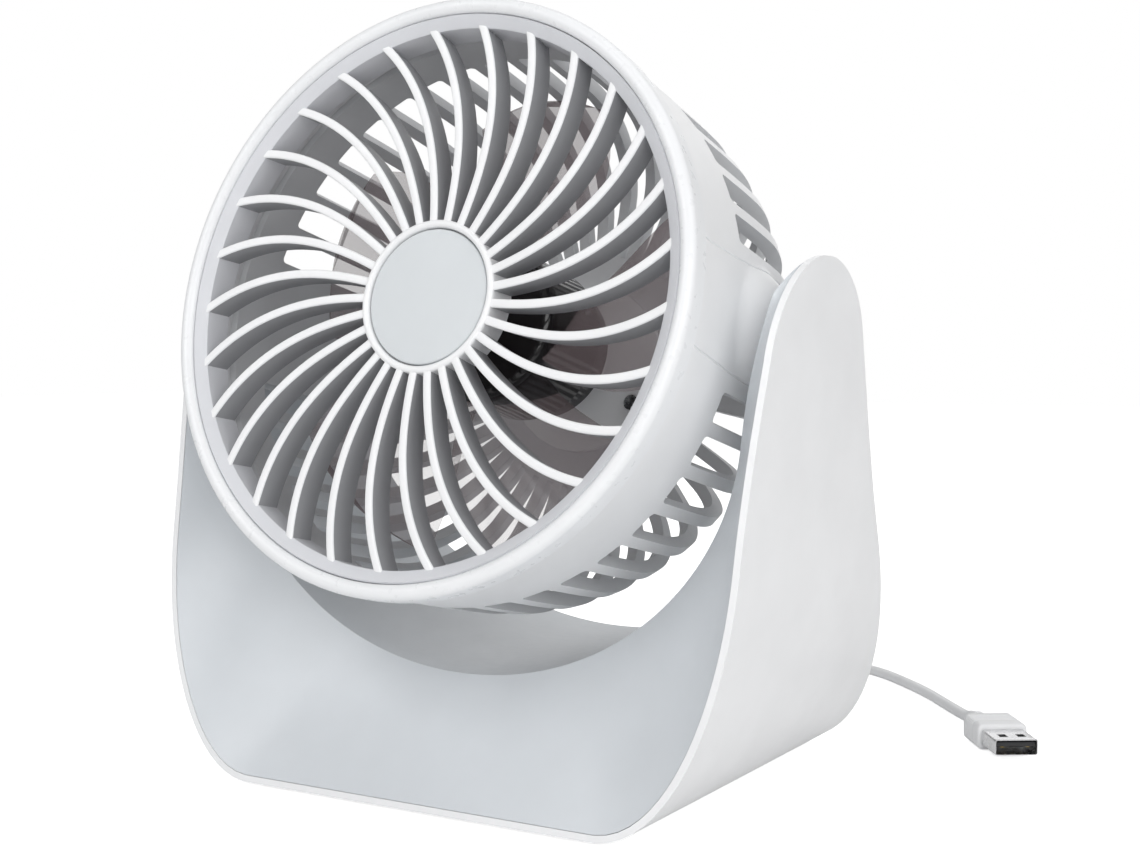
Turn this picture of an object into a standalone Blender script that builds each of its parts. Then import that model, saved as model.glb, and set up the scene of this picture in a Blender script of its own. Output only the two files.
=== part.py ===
"""Small USB desk fan: a round tilting head between the two arms of a U-shaped base.

Metres, +Z up. The fan stands on z = 0, its front faces -Y, and the head tilts about X.
Head parts are modelled about their own axis, which is local Z and points out of the grille.
"""
import bisect
import math

import bmesh
import bpy
from mathutils import Matrix, Vector

MM = 0.001
GAP = 0.3 * MM                  # air between touching pieces

# Base: a U-shaped band, wide at the bottom, leaning in from front and back
BASE_Y = 7.16 * MM              # moves the base back so that the whole fan is centred on the origin
FOOT_HEIGHT = 1.0 * MM
BASE_HALF_DEPTH = 61.0 * MM
FRONT_LEAN = 0.10               # the front edge leans back this much per unit of height
FRONT_LEAN_GROWTH = 0.526       # and a little more with the height squared, per metre
REAR_LEAN = 0.42
TIP_CENTRE_Y = -15.0 * MM
TIP_CENTRE_Z = 106.0 * MM
TIP_RADIUS = 29.0 * MM
FRONT_TANGENT_Z = 112.0 * MM
REAR_TANGENT_Z = 117.2 * MM
SHELL_WALL = 2.2 * MM
HOLLOW_TOP_Z = 121.5 * MM       # the arms are hollow up to here, and solid above
ARM_SOLID_Z = 123.0 * MM
BASE_STATIONS = 18
REAR_PANEL_TOP_Z = 114.0 * MM
PANEL_WALL = 1.8 * MM
SCOOP_FRONT_Y = -36.0 * MM      # plane of the front arc of the trough

# Head
PIVOT_Y = -15.5 * MM
PIVOT_Z = 117.2 * MM
TILT = math.radians(13.5)
FACE = 42.0 * MM                # from the pivot to the plane of the front bead
HEAD_RADIUS = 75.0 * MM
SEAM_RADIUS = 71.3 * MM
RIM_INNER_RADIUS = 67.7 * MM
HUB_RING_RADIUS = 19.4 * MM
BADGE_RADIUS = 17.1 * MM
DRUM_FRONT = 37.6 * MM
DRUM_WALL = 3.6 * MM
DRUM_REAR = -47.0 * MM          # rear face of the housing, from the pivot
RIB_COUNT = 29
RIB_SWEEP = math.radians(15.0)
RIB_PHASE = math.radians(6.4)
RIB_WIDTH = 2.2 * MM
RIB_DEPTH = 8.0 * MM
SLOT_COUNT = 42                 # places round the housing, less those of the two pivot panels
SLOT_PITCH = math.tau / SLOT_COUNT
SLOT_BAR = 3.4 * MM             # width of the bars between the slots
SLOT_FRONT = 14.6 * MM
SLOT_INNER = 34.0 * MM          # radius where the slots end on the rear face
PIVOT_PANEL = math.radians(15.0)
SIDE_STEPS = 2
SHOULDER_STEPS = 3
ROUND_STEPS = 42                # facets of the large round pieces

# Impeller and motor
BLADE_COUNT = 5
IMPELLER_RADIUS = 62.0 * MM
IMPELLER_HUB_RADIUS = 21.0 * MM
SHAFT_RADIUS = 1.5 * MM
RUNNING_FIT = 0.05 * MM

# Lead
CORD_RADIUS = 1.7 * MM
COIL_CENTRE = Vector((-6.0, 133.0, 0.0)) * MM
COIL_MEAN_RADIUS = 19.2 * MM
COIL_HALF_WIDTH = 7.0 * MM
COIL_HALF_HEIGHT = 3.6 * MM


def clear_scene():
    for old in list(bpy.data.objects):
        bpy.data.objects.remove(old)


def material(name, colour, roughness, metallic=0.0, alpha=1.0):
    made = bpy.data.materials.new(name)
    made.use_nodes = True
    shader = made.node_tree.nodes["Principled BSDF"]
    shader.inputs["Base Color"].default_value = (*colour, 1.0)
    shader.inputs["Roughness"].default_value = roughness
    shader.inputs["Metallic"].default_value = metallic
    shader.inputs["Alpha"].default_value = alpha
    return made


def empty(name, parent=None, location=(0.0, 0.0, 0.0), turn_x=0.0):
    made = bpy.data.objects.new(name, None)
    bpy.context.collection.objects.link(made)
    made.parent = parent
    made.location = location
    made.rotation_euler = (turn_x, 0.0, 0.0)
    return made


def add_object(name, bm, paint, parent, location=(0.0, 0.0, 0.0), smooth=True):
    bmesh.ops.recalc_face_normals(bm, faces=bm.faces)
    mesh = bpy.data.meshes.new(name)
    bm.to_mesh(mesh)
    bm.free()
    if smooth:
        mesh.shade_smooth()
        mesh.set_sharp_from_angle(angle=math.radians(35.0))
    if paint:
        mesh.materials.append(paint)
    made = bpy.data.objects.new(name, mesh)
    bpy.context.collection.objects.link(made)
    made.parent = parent
    made.location = location
    return made


def boolean(target, other, operation="DIFFERENCE"):
    """Join or cut with another object, which then only serves as a guide."""
    step = target.modifiers.new(operation.title(), "BOOLEAN")
    step.operation = operation
    step.solver = "EXACT"
    step.object = other
    other.hide_render = True
    other.display_type = "WIRE"


def rounded(target, width, segments=1, angle=40.0):
    step = target.modifiers.new("Rounded edges", "BEVEL")
    step.width = width
    step.segments = segments
    step.limit_method = "ANGLE"
    step.angle_limit = math.radians(angle)


# Shapes

def arc_points(centre, radius, start, end, steps):
    """Points on an arc in the profile plane, angles in degrees."""
    points = []
    for step in range(steps + 1):
        angle = math.radians(start + (end - start) * step / steps)
        points.append((centre[0] + radius * math.cos(angle), centre[1] + radius * math.sin(angle)))
    return points


def bezier(start, handle_a, handle_b, end, steps):
    points = []
    for step in range(steps + 1):
        t = step / steps
        s = 1.0 - t
        weights = (s ** 3, 3 * s * s * t, 3 * s * t * t, t ** 3)
        corners = (start, handle_a, handle_b, end)
        points.append(tuple(sum(w * c[i] for w, c in zip(weights, corners)) for i in (0, 1)))
    return points


def turned(profile, steps):
    """A closed outline of (radius, height) points, spun about Z."""
    bm = bmesh.new()
    verts = [bm.verts.new((radius, 0.0, height)) for radius, height in profile]
    edges = [bm.edges.new((verts[i - 1], verts[i])) for i in range(len(verts))]
    bmesh.ops.spin(bm, geom=verts + edges, axis=(0, 0, 1), cent=(0, 0, 0),
                   angle=math.tau, steps=steps, use_merge=True)
    bmesh.ops.remove_doubles(bm, verts=bm.verts, dist=0.00001)
    axis_edges = [edge for edge in bm.edges if not edge.link_faces]
    bmesh.ops.delete(bm, geom=axis_edges, context="EDGES")
    return bm


def lofted(sections):
    """Closed sections with equal point counts, skinned in order and capped."""
    bm = bmesh.new()
    rings = [[bm.verts.new(point) for point in section] for section in sections]
    for lower, upper in zip(rings, rings[1:]):
        for i in range(len(lower)):
            bm.faces.new((lower[i - 1], lower[i], upper[i], upper[i - 1]))
    bm.faces.new(rings[0])
    bm.faces.new(reversed(rings[-1]))
    return bm


def block(size, centre=(0.0, 0.0, 0.0)):
    bm = bmesh.new()
    place = Matrix.Translation(centre) @ Matrix.Diagonal((*size, 1.0))
    bmesh.ops.create_cube(bm, size=1.0, matrix=place)
    return bm


def cylinder(radius, low, high, steps=24, hole=0.0):
    if hole:
        return turned([(hole, low), (radius, low), (radius, high), (hole, high)], steps)
    return turned([(0.0, low), (radius, low), (radius, high), (0.0, high)], steps)


def transformed(bm, matrix):
    bmesh.ops.transform(bm, matrix=matrix, verts=bm.verts)
    return bm


def merged(parts):
    """Several bmesh bodies in one mesh."""
    whole = bmesh.new()
    for part in parts:
        mesh = bpy.data.meshes.new("piece")
        part.to_mesh(mesh)
        part.free()
        whole.from_mesh(mesh)
        bpy.data.meshes.remove(mesh)
    return whole


# The base's curves, seen from the front: x outwards, z up

def outer_curve(steps):
    """Right half of the shell's outside, from the middle of its bottom to the tip of the arm."""
    corner = bezier((51.3 * MM, FOOT_HEIGHT), (69.5 * MM, FOOT_HEIGHT),
                    (83.2 * MM, 29 * MM), (84.4 * MM, 64 * MM), steps)
    arm = bezier((84.4 * MM, 64 * MM), (85.2 * MM, 87 * MM),
                 (87.8 * MM, 112 * MM), (89.8 * MM, 136 * MM), steps)
    return [(0.0, FOOT_HEIGHT)] + corner + arm[1:]


def trough_curve(steps):
    """Right half of the trough, from its lowest point to the tip of the arm."""
    bowl = bezier((0.0, 30.4 * MM), (42.0 * MM, 30.4 * MM),
                  (74.0 * MM, 58 * MM), (77.0 * MM, 92 * MM), steps)
    arm = bezier((77.0 * MM, 92 * MM), (78.4 * MM, 106 * MM),
                 (81.7 * MM, 119 * MM), (88.8 * MM, 136 * MM), steps)
    return bowl + arm[1:]


def offset_inwards(points, distance):
    moved = []
    for i, (x, z) in enumerate(points):
        before = points[max(i - 1, 0)]
        after = points[min(i + 1, len(points) - 1)]
        along = Vector((after[0] - before[0], after[1] - before[1])).normalized()
        moved.append((max(x - along.y * distance, 0.0), z + along.x * distance))
    return moved


def tip_offset(z):
    return math.sqrt(max(TIP_RADIUS ** 2 - (z - TIP_CENTRE_Z) ** 2, 0.0))


def front_y(z):
    if z > FRONT_TANGENT_Z:
        return TIP_CENTRE_Y - tip_offset(z)
    return -BASE_HALF_DEPTH + FRONT_LEAN * z + FRONT_LEAN_GROWTH * z * z


def rear_y(z):
    if z > REAR_TANGENT_Z:
        return TIP_CENTRE_Y + tip_offset(z)
    return BASE_HALF_DEPTH - REAR_LEAN * z


def bearing_angle(point):
    """Direction of a point of the right half, seen from between the arm tips."""
    return math.atan2(point[1] - 110 * MM, point[0])


def crossing(points, angle):
    """Point where a half curve passes a given bearing."""
    angles = [bearing_angle(point) for point in points]
    i = min(max(bisect.bisect_left(angles, angle), 1), len(points) - 1)
    share = (angle - angles[i - 1]) / (angles[i] - angles[i - 1])
    low, high = points[i - 1], points[i]
    return (low[0] + (high[0] - low[0]) * share, low[1] + (high[1] - low[1]) * share)


def bearings():
    """Directions shared by all base pieces, from straight down to the top of the right arm's hollow."""
    end = bearing_angle(crossing_at_height(trough_curve(40), HOLLOW_TOP_Z))
    start = -math.pi / 2
    return [start + (end - start) * step / BASE_STATIONS for step in range(BASE_STATIONS + 1)]


def crossing_at_height(points, z):
    for low, high in zip(points, points[1:]):
        if low[1] <= z <= high[1] and high[1] > low[1]:
            share = (z - low[1]) / (high[1] - low[1])
            return (low[0] + (high[0] - low[0]) * share, z)
    return points[-1]


def both_sides(sections):
    """Mirror the right half's sections into a full run from the left tip to the right tip."""
    left = [[(-x, y, z) for x, y, z in section] for section in reversed(sections[1:])]
    return left + sections


# Base pieces

def make_base_shell(paint, parent):
    outside = outer_curve(24)
    inside = offset_inwards(outside, SHELL_WALL)
    inner_wall = trough_curve(40)
    sections = [shell_section(crossing(outside, angle), crossing(inside, angle)) for angle in bearings()]
    tip_steps = 6
    for step in range(tip_steps + 1):
        rise = math.sin(math.pi / 2 * step / tip_steps)
        z = ARM_SOLID_Z + (TIP_CENTRE_Z + TIP_RADIUS - 0.1 * MM - ARM_SOLID_Z) * rise
        outer = crossing_at_height(outside, z)
        inner = crossing_at_height(inner_wall, z)
        sections.append(shell_section(outer, inner))
    shell = add_object("base_shell", lofted(both_sides(sections)), paint, parent)
    opening = add_object("cover_opening", block((84 * MM, 84 * MM, 8 * MM)), None, parent)
    boolean(shell, opening)
    rounded(shell, 0.5 * MM)
    return shell


def shell_section(outer, inner):
    return [(outer[0], front_y(outer[1]), outer[1]), (outer[0], rear_y(outer[1]), outer[1]),
            (inner[0], rear_y(inner[1]), inner[1]), (inner[0], front_y(inner[1]), inner[1])]


def cradle_curves():
    """Matching points inside the shell and on the trough, one pair for each bearing."""
    shell_inside = offset_inwards(outer_curve(24), SHELL_WALL + GAP)
    trough = trough_curve(24)
    return [(crossing(shell_inside, angle), crossing(trough, angle)) for angle in bearings()]


def scoop_edge_y(z):
    return max(SCOOP_FRONT_Y, front_y(z) + 0.5 * MM)


def pushed_out(point, distance):
    """A trough point moved away from the head by a wall's thickness."""
    from_centre = Vector((point[0], point[1] - 110 * MM)).normalized()
    return (point[0] + from_centre.x * distance, point[1] + from_centre.y * distance)


def make_cradle(paint, parent):
    sections = []
    for outer, trough in cradle_curves():
        back = pushed_out(trough, PANEL_WALL)
        edge_y = front_y(outer[1]) + 0.3 * MM
        lip_y = scoop_edge_y(trough[1])
        middle = ((outer[0] + trough[0]) / 2, (edge_y + lip_y) / 2 + 0.8 * MM, (outer[1] + trough[1]) / 2)
        rear = rear_y(trough[1]) - 0.3 * MM
        sections.append([
            (outer[0], edge_y, outer[1]), middle, (trough[0], lip_y, trough[1]),
            (trough[0], rear, trough[1]), (back[0], rear, back[1]),
            (back[0], lip_y + 2 * PANEL_WALL, back[1]),
            (middle[0], middle[1] + 1.5 * PANEL_WALL, middle[2]),
            (outer[0], edge_y + 2 * PANEL_WALL, outer[1])])
    cradle = add_object("cradle", lofted(both_sides(sections)), paint, parent)
    hole = add_object("pivot_holes", cylinder(4.3 * MM, -95 * MM, 95 * MM, 20), None, parent,
                      (0.0, PIVOT_Y, PIVOT_Z))
    hole.rotation_euler = (0.0, math.radians(90.0), 0.0)
    boolean(cradle, hole)
    return cradle


def make_rear_panel(paint, parent):
    inward = Vector((0.0, -2.2, 0.0)) * MM
    sections = []
    for outer, trough in cradle_curves():
        if trough[1] > REAR_PANEL_TOP_Z:
            break
        near = pushed_out(trough, PANEL_WALL + GAP)
        outline = []
        for x, z in (outer, near):
            outline.append(Vector((x, rear_y(z) - 0.3 * MM, z)))
        sections.append([tuple(outline[0]), tuple(outline[1]),
                         tuple(outline[1] + inward), tuple(outline[0] + inward)])
    panel = add_object("rear_panel", lofted(both_sides(sections)), paint, parent)
    for name, (x, z), radius in (("button_hole", BUTTON_AT, BUTTON_RADIUS + 0.3 * MM),
                                 ("gland_hole", GLAND_AT, GLAND_RADIUS + 0.3 * MM),
                                 ("lens_hole", LENS_AT, LENS_RADIUS + 0.3 * MM)):
        cutter = rear_fitting(name, cylinder(radius, -6 * MM, 6 * MM, 24), None, parent, x, z)
        boolean(panel, cutter)
    return panel


# Fittings of the rear panel: places on the panel and sizes
BUTTON_AT = (0.0, 15.0 * MM)
BUTTON_RADIUS = 6.0 * MM
LENS_AT = (11.5 * MM, 15.0 * MM)
LENS_RADIUS = 1.5 * MM
GLAND_AT = (30.0 * MM, 12.0 * MM)
GLAND_RADIUS = 3.6 * MM
REAR_TURN = math.atan(REAR_LEAN) - math.pi / 2


def rear_point(x, z, out=0.0):
    """A point on the rear panel, moved outwards along its normal."""
    normal = Vector((0.0, 1.0, REAR_LEAN)).normalized()
    return Vector((x, rear_y(z) - 0.3 * MM, z)) + normal * out


def rear_fitting(name, bm, paint, parent, x, z):
    """A piece modelled about Z, turned so that Z points out of the rear panel."""
    made = add_object(name, bm, paint, parent, rear_point(x, z))
    made.rotation_euler = (REAR_TURN, 0.0, 0.0)
    return made


def make_rear_fittings(colours, parent):
    button_joint = empty("button_axis", parent, rear_point(*BUTTON_AT), REAR_TURN)
    cap_profile = [(0.0, -4.2 * MM), (2.0 * MM, -4.2 * MM), (2.0 * MM, -3.4 * MM), (7.2 * MM, -3.4 * MM),
                   (7.2 * MM, -2.4 * MM), (BUTTON_RADIUS, -2.4 * MM), (BUTTON_RADIUS, 0.6 * MM),
                   (5.4 * MM, 1.2 * MM), (3.0 * MM, 1.0 * MM), (0.0, 0.9 * MM)]
    add_object("button_cap", turned(cap_profile, 20), colours["white"], button_joint)
    lens = [(0.0, -5.0 * MM), (2.3 * MM, -5.0 * MM), (2.3 * MM, -2.4 * MM), (LENS_RADIUS, -2.4 * MM),
            (LENS_RADIUS, 0.0), (0.9 * MM, 0.35 * MM), (0.0, 0.45 * MM)]
    rear_fitting("indicator_lens", turned(lens, 16), colours["lens"], parent, *LENS_AT)
    bore = CORD_RADIUS + GAP
    gland = [(bore, -5.0 * MM), (5.2 * MM, -5.0 * MM), (5.2 * MM, -2.4 * MM), (GLAND_RADIUS, -2.4 * MM),
             (GLAND_RADIUS, 0.3 * MM), (3.3 * MM, 1.2 * MM), (2.9 * MM, 4.6 * MM), (bore, 4.6 * MM)]
    rear_fitting("cord_gland", turned(gland, 16), colours["white"], parent, *GLAND_AT)
    switch_profile = [(0.0, -8.6 * MM), (2.6 * MM, -8.6 * MM), (2.6 * MM, -6.0 * MM),
                      (1.5 * MM, -6.0 * MM), (1.5 * MM, -5.1 * MM), (0.0, -5.1 * MM)]
    rear_fitting("tact_switch", turned(switch_profile, 20), colours["black"], parent, *BUTTON_AT)
    board = block((46 * MM, 13 * MM, 1.4 * MM), (6 * MM, -0.5 * MM, -9.7 * MM))
    rear_fitting("circuit_board", board, colours["board"], parent, *BUTTON_AT)


def make_bottom(colours, parent):
    cover = add_object("bottom_cover", block((83.2 * MM, 83.2 * MM, 2.0 * MM), (0, 0, 2.0 * MM)),
                       colours["grey"], parent, smooth=False)
    rounded(cover, 0.3 * MM)
    for i, (sx, sy) in enumerate(((-1, -1), (1, -1), (-1, 1), (1, 1)), 1):
        at = (sx * 33 * MM, sy * 33 * MM, 0.0)
        recess = add_object(f"screw_recess_{i}", cylinder(2.9 * MM, -1 * MM, 5 * MM, 16), None, parent, at)
        boolean(cover, recess)
        screw = [(0.0, 1.6 * MM), (2.5 * MM, 1.6 * MM), (2.5 * MM, 3.2 * MM),
                 (1.2 * MM, 3.3 * MM), (1.2 * MM, 9.0 * MM), (0.0, 9.4 * MM)]
        add_object(f"bottom_screw_{i}", turned(screw, 12), colours["steel"], parent, at)
        foot = [(0.0, 0.0), (5.6 * MM, 0.0), (6.0 * MM, 0.3 * MM),
                (6.0 * MM, FOOT_HEIGHT - GAP), (0.0, FOOT_HEIGHT - GAP)]
        at = (sx * 43 * MM, sy * 51.0 * MM, 0.0)
        add_object(f"foot_{i}", turned(foot, 20), colours["rubber"], parent, at)


# Head pieces, all about the head's axis

def drum_outside():
    """Outer profile of the housing, from its front edge to its rear face."""
    side = bezier((74.4 * MM, 33 * MM), (73.4 * MM, 18 * MM),
                  (74.0 * MM, 4 * MM), (73.0 * MM, -10 * MM), SIDE_STEPS)
    shoulder = bezier((73.0 * MM, -10 * MM), (71.4 * MM, -25 * MM),
                      (64.0 * MM, -39 * MM), (52.0 * MM, -43.5 * MM), SHOULDER_STEPS)
    return [(74.7 * MM, DRUM_FRONT)] + side + shoulder[1:] + [(SLOT_INNER, DRUM_REAR + 0.8 * MM)]


def make_drum(paint, parent):
    outside = drum_outside()
    inside = [(72.7 * MM, DRUM_FRONT), (72.5 * MM, 27.4 * MM), (70.2 * MM, 25.2 * MM)]
    inside += [(r - DRUM_WALL, a) for r, a in outside[2:SIDE_STEPS + 2]]
    inside += bezier(inside[-1], (67.6 * MM, -22.5 * MM), (61.5 * MM, -35.5 * MM),
                     (50.7 * MM, -40.0 * MM), SHOULDER_STEPS)[1:]
    inside.append((SLOT_INNER, DRUM_REAR + DRUM_WALL + 0.8 * MM))
    boss_hole = 12.0 * MM
    flat = 27.0 * MM
    profile = outside + [(flat, DRUM_REAR), (boss_hole, DRUM_REAR), (boss_hole, DRUM_REAR + DRUM_WALL),
                         (flat, DRUM_REAR + DRUM_WALL)] + inside[::-1]
    drum = add_object("drum_housing", turned(profile, ROUND_STEPS), paint, parent)
    boss = merged([pivot_boss(1.0), pivot_boss(-1.0)])
    boolean(drum, add_object("boss_guide", boss, None, parent), "UNION")
    boolean(drum, add_object("slot_cutters", slot_cutters(), None, parent))
    pin_holes = merged([transformed(cylinder(3.0 * MM + RUNNING_FIT, -10 * MM, 10 * MM, 20),
                                    Matrix.Translation((side * 77 * MM, 0, 0)) @ Matrix.Rotation(math.pi / 2, 4, "Y"))
                        for side in (-1, 1)])
    boolean(drum, add_object("pin_holes", pin_holes, None, parent))
    return drum


def pivot_boss(side):
    """Raised cone on the housing's side, which carries a pivot pin."""
    profile = [(0.0, 69.0 * MM), (17.0 * MM, 69.0 * MM), (13.0 * MM, 74.0 * MM),
               (9.0 * MM, 78.2 * MM), (8.0 * MM, 79.0 * MM), (0.0, 79.0 * MM)]
    return transformed(turned(profile, 28), Matrix.Rotation(side * math.pi / 2, 4, "Y"))


def slot_half_width(radius):
    return radius * math.tan(SLOT_PITCH / 2) - SLOT_BAR / 2


def slot_cutters():
    """Wedges that leave straight bars along the side, over the shoulder and on the rear face."""
    near, far, corner = SLOT_INNER, 90.0 * MM, 1.2 * MM
    cutters = []
    for i in range(SLOT_COUNT):
        angle = SLOT_PITCH * i
        from_pivot = abs((angle + math.pi / 2) % math.pi - math.pi / 2)
        if from_pivot < PIVOT_PANEL:
            continue
        sections = []
        for height, inset in ((-60 * MM, 0.0), (SLOT_FRONT - corner, 0.0), (SLOT_FRONT, corner)):
            low, high = slot_half_width(near) - inset / 4, slot_half_width(far) - inset
            sections.append([(near, -low, height), (far, -high, height), (far, high, height), (near, low, height)])
        bm = lofted(sections)
        bmesh.ops.recalc_face_normals(bm, faces=bm.faces)
        cutters.append(transformed(bm, Matrix.Rotation(angle, 4, "Z")))
    return merged(cutters)


def make_bezel(paint, parent):
    """White bead around the front, which slips into the housing's mouth."""
    bead = arc_points((73.0 * MM, FACE - 0.6 * MM), 2.0 * MM, 0, 150, 3)
    skirt_in = 70.6 * MM
    edge = DRUM_FRONT + GAP
    profile = [(HEAD_RADIUS, edge)] + bead + [(SEAM_RADIUS - 0.1 * MM, FACE - 2.0 * MM),
              (SEAM_RADIUS - 0.1 * MM, 36.0 * MM), (skirt_in, 34.5 * MM), (skirt_in, 28.0 * MM),
              (72.2 * MM, 28.0 * MM), (72.2 * MM, edge)]
    return add_object("front_bezel", turned(profile, ROUND_STEPS), paint, parent)


def rib_section(radius, sweep, middle, front, depth):
    """Cross-section of a rib at a radius: rounded at the front, thin at the back."""
    half = RIB_WIDTH / 2
    points = [(0.0, front - depth), (half, front - 0.8 * MM), (half * 0.5, front),
              (-half * 0.5, front), (-half, front - 0.8 * MM)]
    turn = Matrix.Rotation(sweep + middle, 3, "Z")
    lean = Matrix.Rotation(math.radians(24.0) * radius / RIM_INNER_RADIUS, 3, "Z")
    section = []
    for across, height in points:
        offset = lean @ Vector((0.0, across, 0.0))
        section.append(tuple(turn @ (Vector((radius, 0.0, height)) + offset)))
    return section


def rib(middle):
    inner = HUB_RING_RADIUS - 1.2 * MM
    outer = RIM_INNER_RADIUS + 1.0 * MM
    sections = []
    steps = 5
    for step in range(steps + 1):
        share = step / steps
        radius = inner + (outer - inner) * share
        sweep = RIB_SWEEP * share ** 1.8
        front = FACE - 4.4 * MM + 3.2 * MM * share
        sections.append(rib_section(radius, sweep, middle, front, RIB_DEPTH))
    bm = lofted(sections)
    bmesh.ops.recalc_face_normals(bm, faces=bm.faces)
    return bm


def make_grille(paint, parent):
    outer = SEAM_RADIUS - 0.4 * MM
    rim = [(outer, FACE + 0.2 * MM), (RIM_INNER_RADIUS, FACE - 1.4 * MM),
           (RIM_INNER_RADIUS, FACE - 9.5 * MM), (outer - 1.2 * MM, FACE - 9.5 * MM), (outer, FACE - 6.0 * MM)]
    grille = add_object("front_grille", turned(rim, 2 * RIB_COUNT), paint, parent)
    hub = [(HUB_RING_RADIUS - 0.6 * MM, FACE - 3.9 * MM), (HUB_RING_RADIUS, FACE - 5.0 * MM),
           (HUB_RING_RADIUS, FACE - 13.0 * MM), (0.0, FACE - 13.0 * MM), (0.0, FACE - 7.2 * MM),
           (BADGE_RADIUS + 0.3 * MM, FACE - 7.2 * MM), (BADGE_RADIUS + 0.3 * MM, FACE - 3.9 * MM)]
    ribs = merged([rib(math.tau * i / RIB_COUNT + RIB_PHASE) for i in range(RIB_COUNT)])
    boolean(grille, add_object("rib_guide", ribs, None, parent), "UNION")
    boolean(grille, add_object("hub_ring_guide", turned(hub, RIB_COUNT), None, parent), "UNION")
    return grille


def make_badge(paint, parent):
    low = FACE - 6.9 * MM
    high = FACE - 5.0 * MM
    profile = [(0.0, low), (BADGE_RADIUS, low), (BADGE_RADIUS, high - 0.4 * MM),
               (BADGE_RADIUS - 0.5 * MM, high), (0.0, high)]
    return add_object("grille_badge", turned(profile, 32), paint, parent)


def make_motor(colours, parent):
    """Bracket, bearings and windings, fixed to the housing's rear."""
    plate = DRUM_REAR + DRUM_WALL + GAP
    tube_radius = 4.0 * MM
    bracket = [(2.2 * MM, DRUM_REAR - 1.0 * MM), (11.6 * MM, DRUM_REAR - 1.0 * MM), (11.6 * MM, plate),
               (24.0 * MM, plate), (24.0 * MM, plate + 2.0 * MM), (tube_radius + 3 * MM, plate + 2.0 * MM),
               (tube_radius, plate + 4.0 * MM), (tube_radius, -4.0 * MM), (3.3 * MM, -4.0 * MM),
               (3.3 * MM, -26.0 * MM), (2.2 * MM, -26.0 * MM)]
    motor = add_object("motor_bracket", turned(bracket, 24), colours["white"], parent)
    for i in range(3):
        angle = math.tau * (i / 3 + 0.25)
        at = (20.0 * MM * math.cos(angle), 20.0 * MM * math.sin(angle), 0.0)
        drill = cylinder(1.9 * MM, DRUM_REAR - 3 * MM, DRUM_REAR + 9 * MM, 16)
        hole = add_object(f"bracket_hole_{i + 1}", drill, None, parent, at)
        boolean(motor, hole)
        boolean(bpy.data.objects["drum_housing"], hole)
        screw = [(0.0, DRUM_REAR + 0.3 * MM), (1.5 * MM, DRUM_REAR + 0.3 * MM), (1.5 * MM, plate + 2.3 * MM),
                 (2.6 * MM, plate + 2.3 * MM), (2.2 * MM, plate + 4.0 * MM), (0.0, plate + 4.2 * MM)]
        add_object(f"bracket_screw_{i + 1}", turned(screw, 12), colours["steel"], parent, at)
    for name, low in (("bearing_rear", -24.0 * MM), ("bearing_front", -7.5 * MM)):
        ring = cylinder(3.25 * MM, low, low + 3.0 * MM, 24, SHAFT_RADIUS + RUNNING_FIT)
        add_object(name, ring, colours["bronze"], parent)
    stator = [(tube_radius + 0.1 * MM, -20.0 * MM), (12.5 * MM, -20.0 * MM), (13.5 * MM, -18.0 * MM),
              (13.5 * MM, -10.0 * MM), (12.5 * MM, -8.0 * MM), (tube_radius + 0.1 * MM, -8.0 * MM)]
    add_object("motor_stator", turned(stator, 24), colours["copper"], parent)


def blade(middle):
    """One twisted blade from the hub to near the housing."""
    sections = []
    steps = 5
    inner = IMPELLER_HUB_RADIUS - 1.5 * MM
    for step in range(steps + 1):
        share = step / steps
        radius = inner + (IMPELLER_RADIUS - inner) * share
        half_turn = math.radians(27.0 + 3.0 * math.sin(share * math.pi)) * (1 - 0.18 * share ** 4)
        half_rise = (8.0 - 1.5 * share) * MM
        sweep = middle + math.radians(14.0) * share ** 1.5
        section = []
        for side in (1.0, -1.0):
            for k in (-1.0, -0.5, 0.0, 0.5, 1.0):
                along = k * side
                angle = sweep + along * half_turn
                camber = 1.6 * MM * (1 - along * along)
                height = 3.0 * MM - along * half_rise + camber + side * 0.55 * MM * (1.15 - abs(along))
                section.append((radius * math.cos(angle), radius * math.sin(angle), height))
        sections.append(section)
    bm = lofted(sections)
    bmesh.ops.recalc_face_normals(bm, faces=bm.faces)
    return bm


def make_rotor(colours, parent):
    hub = [(SHAFT_RADIUS + 0.3 * MM, 13.0 * MM), (18.0 * MM, 13.0 * MM), (20.0 * MM, 12.0 * MM),
           (IMPELLER_HUB_RADIUS, 9.5 * MM), (IMPELLER_HUB_RADIUS, -12.0 * MM), (19.2 * MM, -12.0 * MM),
           (19.2 * MM, 10.6 * MM), (SHAFT_RADIUS + 0.3 * MM, 10.6 * MM)]
    impeller = add_object("impeller", turned(hub, 30), colours["smoke"], parent)
    blades = merged([blade(math.tau * i / BLADE_COUNT) for i in range(BLADE_COUNT)])
    boolean(impeller, add_object("blade_guide", blades, None, parent), "UNION")
    can = [(SHAFT_RADIUS + 0.3 * MM, 10.0 * MM), (17.6 * MM, 10.0 * MM), (18.6 * MM, 9.0 * MM),
           (18.6 * MM, -21.0 * MM), (17.0 * MM, -21.0 * MM), (17.0 * MM, 8.0 * MM),
           (5.0 * MM, 8.0 * MM), (5.0 * MM, 4.0 * MM), (SHAFT_RADIUS + 0.3 * MM, 4.0 * MM)]
    add_object("rotor_can", turned(can, 28), colours["black"], parent)
    magnet = cylinder(16.7 * MM, -20.0 * MM, -7.0 * MM, 24, 14.2 * MM)
    add_object("rotor_magnet", magnet, colours["iron"], parent)
    shaft = cylinder(SHAFT_RADIUS, -25.0 * MM, 13.6 * MM, 24)
    add_object("motor_shaft", shaft, colours["steel"], parent)


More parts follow.
